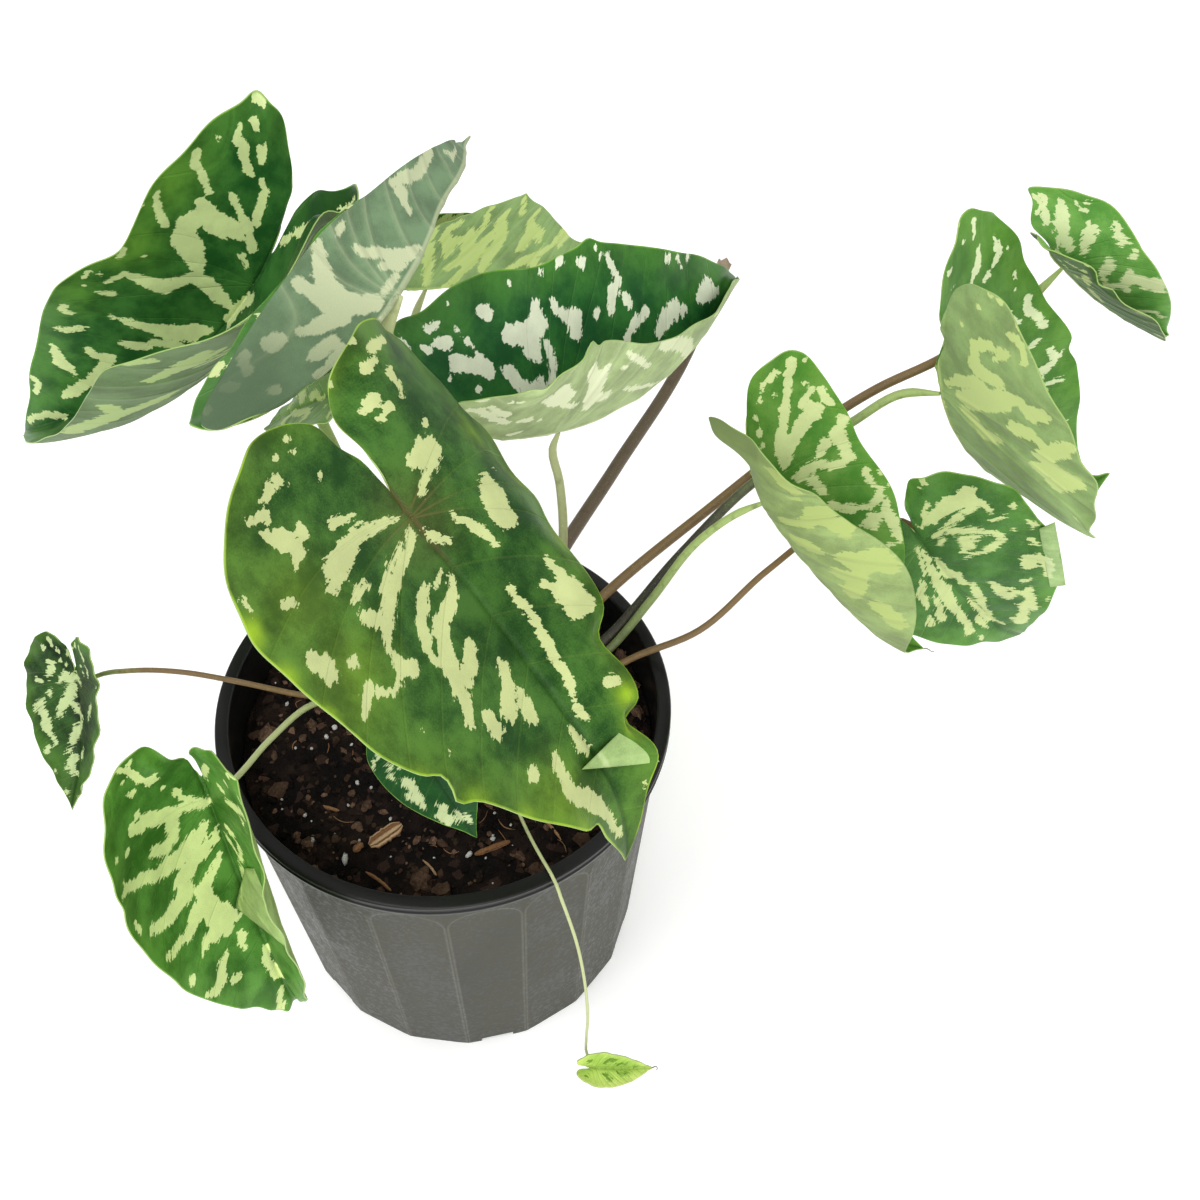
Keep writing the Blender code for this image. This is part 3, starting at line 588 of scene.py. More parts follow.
for number in range(ROOT_HAIRS):
    x, y = scattered()
    turn, length = dice.uniform(0.0, 6.3), dice.uniform(4.0, 10.0)
    x, y = x / MM * 0.9, y / MM * 0.9
    splinter((x, y), (x + length * math.cos(turn), y + length * math.sin(turn)),
             dice.uniform(0.30, 0.55), 0.4, dice.uniform(0.25, 0.6), 0.1, 5, dice.uniform(-2.0, 2.0))
bmesh.ops.recalc_face_normals(bm, faces=bm.faces[:])
piece_from(bm, "bark_splinters", [wood])

# ---------------------------------------------------------------------------------------------
# Crown: the short woody stem base near the middle of the mix, ringed by old leaf scars and wrapped
# in dry brown sheaths.
CROWN_RADIUS = 0.0068
CROWN_HEIGHT = 0.015
CROWN_RINGS = 40
CROWN_STEPS = 48
CROWN_GAP = 0.0003           # above the mix
SHEATH_THICKNESS = 0.00025
SHEATHS = 7

crown_bark, tree, shader = new_material("crown_bark", roughness=0.8, specular=0.25)
place = object_place(tree)
drawn = node(tree, "ShaderNodeMapping", Vector=place, Scale=(900.0, 900.0, 110.0)).outputs[0]
fibres = cloud(tree, drawn, 1.0, detail=4.0, roughness=0.7)
ringed = node(tree, "ShaderNodeMapping", Vector=place, Scale=(60.0, 60.0, 700.0)).outputs[0]
bands = cloud(tree, ringed, 1.0)
colour = blended(tree, eased(tree, fibres, 0.3, 0.7), (0.026, 0.016, 0.010), (0.150, 0.092, 0.052))
colour = blended(tree, eased(tree, bands, 0.52, 0.68, 0.0, 0.6), colour, (0.030, 0.022, 0.012))
tree.links.new(colour, shader.inputs["Base Color"])
bumped(tree, shader, maths(tree, "ADD", fibres, bands), 0.0008)

profile = [(0.0, 0.0)]
for number in range(CROWN_RINGS + 1):
    share = number / CROWN_RINGS
    scar = 0.00035 * abs(math.sin(math.pi * 4.5 * share)) - 0.0004
    round_off = math.sqrt(max(0.0, 1.0 - max(0.0, (share - 0.72) / 0.28) ** 2.5))
    profile.append(((CROWN_RADIUS + scar) * max(0.12, round_off) * (1.0 - 0.10 * share),
                    CROWN_HEIGHT * share))
profile.append((0.0, CROWN_HEIGHT))
bm = turned(profile, CROWN_STEPS)
for vert in bm.verts:
    grain = noise.noise(Vector((vert.co.x * 700.0, vert.co.y * 700.0, vert.co.z * 90.0)))
    vert.co.x *= 1.0 + 0.05 * grain
    vert.co.y *= 1.0 + 0.05 * grain
    vert.co += Vector((*CROWN_MIDDLE, SOIL_LEVEL + CROWN_GAP))
crown = piece_from(bm, "crown_base", [crown_bark], ["crown"])
crown.data.shade_smooth()

bm = bmesh.new()
for number in range(SHEATHS):
    sheet = bmesh.ops.create_grid(bm, x_segments=8, y_segments=12, size=0.5)["verts"]
    middle, height, spread = number * 2.4, dice.uniform(0.007, 0.0125), dice.uniform(0.5, 0.8)
    for vert in sheet:
        across, up = vert.co.x * 2.0, vert.co.y + 0.5
        turn = middle + across * spread * (1.0 - 0.85 * up ** 1.5)
        out = CROWN_RADIUS + 0.00035 + 0.0006 * up ** 2 + 0.0003 * math.sin(9.0 * across + number)
        vert.co = (CROWN_MIDDLE[0] + out * math.cos(turn), CROWN_MIDDLE[1] + out * math.sin(turn),
                   SOIL_LEVEL + height * up + 0.0004 * math.sin(20.0 * across) * up)
sheaths = piece_from(bm, "crown_sheaths", [crown_bark])
thickness = sheaths.modifiers.new("thickness", "SOLIDIFY")
thickness.thickness = SHEATH_THICKNESS
thickness.offset = 0.0
settle(sheaths)
sheaths.data.shade_smooth()

# ---------------------------------------------------------------------------------------------
# Blades: fourteen thin heart-shaped leaf blades. Each is a flat blank, folded along its midrib,
# curled, bent and aimed from where its petiole meets it. The green is broken by yellow-green
# splashes that run with the side veins, and the underside is paler and duller.

# Half of a blade's outline, tip to sinus: distance along the midrib (blade lengths, or lobe lengths
# where negative) and distance from it (half widths).
HALF_OUTLINE = [
    (1.00, 0.00), (0.88, 0.15), (0.72, 0.40), (0.50, 0.68), (0.25, 0.90), (0.00, 1.00),
    (-0.45, 0.96), (-0.82, 0.72), (-1.00, 0.42), (-0.86, 0.16), (-0.52, 0.045), (-0.20, 0.00)]
BLADE_SKIN = 0.00055
VEINS = 7                    # side veins from the junction to the tip
LOBE_VEINS = 3.4
VEIN_LEAN = 0.45
VEIN_CURVE = 0.35
WIDEST_VEINS = 40.0          # side veins count as no farther apart than this, millimetres
FULL_CUSHION = 12.0          # and where they are this far apart, their cushions are full height
GROOVE = (0.5, 1.6)          # depth and half width of the groove over the midrib, millimetres
WAVES = (46.0, 83.0)         # radians of the margin's two waves from the tip to the sinus
SWELL, SWELL_SIZE = 0.8, 28.0                # height and size of broad swells, millimetres
RING_BUNCHING = 1.15         # over one, the grid's rings lie closer together towards the margin
TURNED_OUT = 0.9             # a folded-back margin is coloured as this share of the way out
COVERED_STEPS = (13, 21)     # along and off between random splashes, hundredths
COVERED_GAPS = 0.3           # share of their places left empty
NO_SPLASH = -9.0             # depth far outside every splash, millimetres

# Lengths in a blade's values are millimetres and angles are degrees. Names that end in l and r are
# for its left and right half, seen from above with the tip ahead.
BLADE_DEFAULTS = dict(
    lobe=0.47, roll=0, bend=0, lobe_bend=0, fold_l=10, fold_r=10, curl_l=0, curl_r=0, close=0,
    gape=0, twist=0, sway=0, tip_up=0.0, full_l=0.0, full_r=0.0, lopsided=0.0, lobe_skew=0.0,
    quilt=0.5,               # height of the cushions between side veins, millimetres
    ripple=0.7,              # height of the waves at the margin, millimetres
    nudges=(),               # local pulls: along, off (hundredths), reach, then right, back, up (mm)
    yellowing_and_shade=(),               # yellower places, or where negative darker with painted shade: along, off, reach (mm), strength
    turned=(),               # margins folded back: clockwise corners (along, off), lifts and bulge (mm)
    deep=(0.013, 0.078, 0.016), fresh=(0.042, 0.175, 0.026),
    margin=(0.150, 0.360, 0.030), splash=(0.630, 0.735, 0.320), glow=0.22, brown=0.0,
    back=(0.150, 0.290, 0.140), back_splash=(0.480, 0.570, 0.290), ragged=1.0, soft=1.4,
    furrow=0.05,
    spread=0.5,              # how far every splash spreads past its dabs, millimetres
    covered=())              # overlapped areas, splashed at random: along from, to, off from, to

# Each blade's colours are set to how light or dark that blade looks where it hangs. So besides its own
# tone, they carry painted light and painted shade.
LEAVES = [
    dict(name="front", junction=(-2, -44, 353), length=157, half_width=84,
         lobe=0.38, heading=-43, pitch=-44, roll=-3, bend=-1, lobe_bend=-47, fold_l=14, fold_r=11,
         curl_l=-75, curl_r=8, close=12, gape=-8, twist=8, sway=-9, tip_up=-0.15, full_l=-0.3,
         full_r=0.06, lopsided=-0.06, columns=150, rings=80,
         nudges=((10, 84, 16, (-3.9, -2.1, -2.2)), (26, 69, 12, (-3.9, 0.7, 0.0)),
                 (53, 45, 9, (-6.9, 1.2, 0.0)), (71, 29, 5.5, (-8.5, 1.5, 0.0)),
                 (-31, 14, 12, (-7.4, 1.2, 0.0)), (-23, 8, 8, (-5.0, 0.8, 0.0)),
                 (43, -80, 6, (0.4, 2.4, 1.9)), (49, -74, 4, (-2.4, -1.9, -1.9)),
                 (84, -22, 5, (0.5, 3.1, 2.5)), (78, 22, 6, (2.0, -0.3, 0.0))),
         turned=((((69, 18), (78, 24), (81, 25), (69, -12)), (-0.4, 0.8, 1.2, -0.4), 1.2),),
         yellowing_and_shade=((0, -102, 5, 0.8), (-12, -98, 5, 0.85), (12, -101, 5, 0.6), (-3, 66, 7, 0.3),
                 (64, 30, 5, 0.7), (70, 24, 4, 0.8), (52, -70, 5, 0.35), (65, -52, 5, 0.4),
                 (78, -30, 5, 0.35), (-34, 14, 5, 0.3), (30, 64, 5, 0.35), (14, 82, 5, 0.35),
                 (38, -88, 5, 0.35), (30, 8, 26, -0.35), (20, -10, 18, -0.3), (10, -75, 18, 0.22),
                 (-8, -70, 16, 0.22), (70, -30, 16, 0.2)),
         deep=(0.008, 0.045, 0.005), fresh=(0.055, 0.152, 0.022), margin=(0.300, 0.470, 0.022),
         splash=(0.500, 0.555, 0.245), glow=0.10, brown=0.6, spread=0.25,
         back=(0.330, 0.480, 0.170)),
    dict(name="left", junction=(-63, 193, 265), length=196, half_width=93,
         lobe=0.55, heading=176, pitch=-57, roll=-19, bend=-41, lobe_bend=-29, fold_l=11, fold_r=63,
         curl_l=67, curl_r=46, close=7, gape=-11, twist=29, sway=-28, tip_up=-0.12, full_l=-0.1,
         full_r=0.41, lopsided=0.3, columns=160, rings=90,
         nudges=((-55, -43, 6, (0.5, 3.0, 2.4)), (-45, -15, 14, (-2.9, 0.5, 0.0)),
                 (-30, -9, 5, (1.5, -0.2, 0.0)), (-48, 31, 15, (4.5, -4.9, -3.1)),
                 (-38, 52, 15, (1.8, 15.5, 12.4)), (-50, 68, 13, (2.0, 13.5, 10.8)),
                 (-46, 14, 14, (-1.0, -5.5, -4.3))),
         yellowing_and_shade=((0, -95, 26, 0.5), (-25, -85, 24, 0.45), (30, -98, 20, 0.25), (-45, 40, 45, -1.0)),
         deep=(0.012, 0.075, 0.014), fresh=(0.045, 0.165, 0.030), margin=(0.150, 0.340, 0.040),
         splash=(0.640, 0.750, 0.340), spread=0.8, covered=((-45, 0, 30, 95),),
         back=(0.145, 0.235, 0.095), back_splash=(0.400, 0.520, 0.200)),
    dict(name="centre_folded", junction=(3, 50, 372), length=149, half_width=48,
         lobe=0.64, heading=61, pitch=1, roll=-87, bend=-24, lobe_bend=-45, fold_l=72, fold_r=72,
         curl_l=-4, curl_r=-29, close=-9, gape=12, twist=20, sway=31, full_l=0.03, full_r=-0.15,
         lopsided=0.26, columns=130, rings=60,
         nudges=((23, 93, 15, (3.0, -0.5, 0.0)), (8, 94, 12, (2.0, -0.3, 0.0)),
                 (42, 0, 24, (-2.7, 0.5, 0.0)), (100, 0, 4, (3.6, 2.4, 2.2))),
         yellowing_and_shade=((-55, -50, 45, -0.95), (-40, -20, 30, -0.6)),
         back=(0.155, 0.250, 0.130), back_splash=(0.500, 0.540, 0.330), soft=4.0, furrow=0.12,
         ragged=0.8, spread=0.9, covered=((-50, 90, 10, 80),)),
    dict(name="back", junction=(18, 182, 261), length=104, half_width=46,
         lobe=0.42, heading=25, pitch=-23, roll=9, bend=-15, lobe_bend=-28, fold_l=81, fold_r=81,
         twist=-13, sway=13, full_r=0.32, lopsided=-0.12, columns=100, rings=50,
         nudges=((37, -104, 3, (0.3, 1.5, 1.2)), (6, -103, 7, (0.3, 1.8, 1.5))),
         back=(0.320, 0.500, 0.180), back_splash=(0.640, 0.780, 0.270), spread=1.5,
         covered=((-36, 88, 8, 92),)),
    dict(name="centre", junction=(66, 78, 261), length=159, half_width=68,
         lobe=0.58, heading=23, pitch=-13, roll=-9, bend=-32, lobe_bend=-80, fold_l=68, fold_r=49,
         curl_r=34, close=11, gape=-18, sway=40, tip_up=-0.13, full_l=0.2, full_r=-0.22,
         lopsided=0.06, lobe_skew=0.12, columns=150, rings=76,
         nudges=((-51, 66, 14, (-0.6, -3.5, -2.8)), (25, 101, 7, (0.3, 1.9, 1.6)),
                 (-14, -98, 7, (0.7, 3.9, 3.1)), (-38, -82, 8, (-0.5, -3.1, -2.5))),
         deep=(0.009, 0.070, 0.017), fresh=(0.030, 0.145, 0.028), splash=(0.780, 0.820, 0.620),
         back=(0.440, 0.560, 0.260), back_splash=(0.760, 0.800, 0.540)),
    dict(name="right_folded", junction=(150, 31, 250), length=118, half_width=55,
         lobe=0.58, heading=-42, pitch=-51, roll=-19, bend=-5, lobe_bend=-78, fold_l=67, fold_r=12,
         curl_r=70, close=8, gape=-7, twist=-11, sway=25, tip_up=0.08, full_l=0.16, full_r=0.28,
         lopsided=-0.14, lobe_skew=0.18, columns=120, rings=60,
         nudges=((-49, -20, 13, (-10.8, 1.9, 0.0)), (-29, -16, 12, (3.1, 3.6, 3.0)),
                 (-60, -42, 9, (-0.3, -1.9, -1.5)), (-54, -12, 5, (-3.1, 2.5, 1.5))),
         deep=(0.056, 0.187, 0.022), fresh=(0.130, 0.280, 0.050), splash=(0.600, 0.680, 0.315),
         yellowing_and_shade=((-58, -30, 22, -0.9),), back=(0.285, 0.390, 0.140),
         back_splash=(0.375, 0.460, 0.150), spread=0.7, covered=((22, 92, 6, 50),)),
    dict(name="right_low", junction=(223, 22, 217), length=101, half_width=50,
         lobe=0.37, heading=-29, pitch=-53, roll=73, bend=28, lobe_bend=-5, fold_l=13, curl_r=-8,
         close=1, gape=-1, twist=-3, sway=6, tip_up=-0.04, full_l=0.14, full_r=-0.05, lopsided=0.08,
         columns=110, rings=56, nudges=((-35, 24, 4, (-1.3, 1.4, 0.9)),),
         turned=((((8, 97), (6, 112), (50, 84), (49, 71)), (0.3, 1.0, 0.8, 0.3), 1.0),),
         deep=(0.028, 0.095, 0.016), fresh=(0.072, 0.195, 0.038), splash=(0.500, 0.580, 0.250),
         back=(0.330, 0.480, 0.190)),
    dict(name="right_far", junction=(234, 60, 274), length=167, half_width=76,
         lobe=0.51, heading=3, pitch=-72, roll=-7, bend=-55, lobe_bend=-34, fold_l=66, fold_r=12,
         curl_l=14, curl_r=7, close=18, gape=-13, twist=11, sway=10, tip_up=0.04, full_l=0.2,
         full_r=0.07, lopsided=-0.14, columns=150, rings=80,
         nudges=((46, -70, 8, (-4.5, 3.3, 1.8)), (38, -88, 12, (-5.6, 3.8, 2.2)),
                 (-6, -100, 14, (4.6, -0.8, 0.0)), (100, 0, 10, (1.4, 2.2, 1.9)),
                 (62, -60, 9, (-3.9, 2.6, 1.5)), (20, -102, 8, (-3.9, 0.7, 0.0)),
                 (-50, 60, 14, (-0.4, -2.2, -1.8)), (-16, 98, 12, (-3.2, 0.5, 0.0)),
                 (30, 100, 8, (-3.2, 0.6, 0.0)), (-20, 0, 8, (2.8, -0.5, 0.0))),
         deep=(0.060, 0.180, 0.026), fresh=(0.120, 0.280, 0.050), splash=(0.750, 0.830, 0.500),
         back=(0.285, 0.420, 0.150), back_splash=(0.520, 0.620, 0.230),
         covered=((-5, 40, 6, 50), (40, 92, 6, 46))),
    dict(name="right_top", junction=(298, 100, 301), length=89, half_width=40,
         lobe=0.51, heading=-11, pitch=-45, roll=42, bend=12, lobe_bend=8, fold_l=63, fold_r=73,
         curl_l=20, curl_r=20, gape=-21, twist=3, sway=25, tip_up=0.02, lopsided=-0.02, columns=90,
         rings=46,
         nudges=((-49, -27, 11, (6.0, -3.4, -1.8)), (-45, -48, 12, (5.0, -4.2, -2.6)),
                 (-46, 21, 7, (3.0, -0.5, 0.0)), (-52, 38, 4, (-2.4, 1.0, 0.5)),
                 (-50, 62, 9, (-0.4, -2.2, -1.8)), (-38, 84, 8, (-0.3, -1.8, -1.4)),
                 (-22, 0, 8, (2.4, -0.4, 0.0)), (-9, -100, 7, (-5.0, -1.5, -1.9)),
                 (8, -100, 15, (-7.9, -1.0, -2.0))),
         yellowing_and_shade=((32, -66, 28, -0.85), (14, -100, 14, -0.7), (60, -30, 20, -0.6)),
         quilt=0.2, ripple=0.2, deep=(0.092, 0.270, 0.052), fresh=(0.210, 0.440, 0.105),
         splash=(0.800, 0.860, 0.490),
         back=(0.105, 0.210, 0.060), back_splash=(0.760, 0.830, 0.360), soft=1.0, spread=0.7),
    dict(name="small_left", junction=(-159, 28, 190), length=57, half_width=27,
         lobe=0.44, heading=-98, pitch=-50, roll=33, bend=-12, lobe_bend=-33, fold_l=18, fold_r=26,
         curl_l=7, curl_r=-27, close=5, gape=-5, twist=-5, sway=-6, full_r=0.06, lopsided=-0.02,
         columns=70, rings=36, quilt=0.3,
         deep=(0.003, 0.012, 0.003), fresh=(0.030, 0.082, 0.016), splash=(0.430, 0.520, 0.250),
         spread=0.2),
    dict(name="low_left", junction=(-100, -50, 202), length=142, half_width=71,
         heading=-74, pitch=-72, roll=7, bend=3, lobe_bend=-60, fold_l=59, fold_r=28, curl_l=38,
         curl_r=54, close=2, gape=-2, twist=1, sway=3, tip_up=-0.08, full_l=-0.13, full_r=-0.04,
         lopsided=0.05, columns=140, rings=70,
         nudges=((-50, -40, 14, (-1.5, -2.6, -2.2)), (-34, -12, 15, (-1.1, -6.4, -5.1)),
                 (-50, 40, 10, (4.9, -6.2, -4.3)), (-40, 20, 10, (1.7, -4.8, -3.6)),
                 (-20, -95, 16, (2.4, -0.4, 0.0)), (97, 0, 10, (-0.6, 1.2, 0.9)),
                 (86, -14, 6, (-0.3, -1.6, -1.2)), (94, -8, 6, (1.4, -3.6, -2.6)),
                 (-46, 14, 6, (3.0, -1.0, -0.4))),
         turned=((((20, 20), (15, 34), (40, 52), (40, -8)), (0.8, 0.3, 0.3, 0.8), 1.0),),
         deep=(0.034, 0.125, 0.014), fresh=(0.105, 0.285, 0.045), splash=(0.760, 0.870, 0.370),
         back=(0.340, 0.480, 0.160), back_splash=(0.480, 0.610, 0.220), spread=0.8),
    dict(name="under_front", junction=(-13, -36, 195), length=44, half_width=21,
         heading=-63, pitch=-15, roll=8, bend=10, fold_l=12, fold_r=9, curl_r=-1, close=-3, twist=1,
         full_l=0.02, full_r=0.03, columns=60, rings=30, quilt=0.25, ripple=0.3,
         deep=(0.009, 0.045, 0.012), fresh=(0.016, 0.075, 0.018), splash=(0.490, 0.560, 0.300), glow=0.0,
         covered=((-40, 14, 10, 90), (-40, 10, -80, -10))),
    dict(name="hanging", junction=(48, -130, 55), length=27, half_width=11,
         lobe=0.43, heading=-5, pitch=-16, roll=24, bend=7, lobe_bend=-7, fold_l=48, fold_r=35,
         curl_l=9, curl_r=8, close=2, gape=7, twist=4, sway=3, full_l=-0.02, full_r=0.02,
         columns=44, rings=20, quilt=0.12, ripple=0.2,
         deep=(0.300, 0.480, 0.080), fresh=(0.520, 0.680, 0.160), margin=(0.640, 0.640, 0.240),
         splash=(0.140, 0.270, 0.035)),
    dict(name="behind_front", junction=(-29, 130, 250), length=56, half_width=26,
         heading=-196, pitch=-28, roll=-10, bend=27, lobe_bend=-1, fold_l=20, fold_r=-5, curl_l=8,
         curl_r=-7, close=-8, gape=3, twist=-2, sway=-8, tip_up=0.02, full_l=0.06, lopsided=0.03,
         columns=70, rings=34, quilt=0.3,
         deep=(0.110, 0.220, 0.050), fresh=(0.200, 0.350, 0.090), splash=(0.520, 0.640, 0.240))]

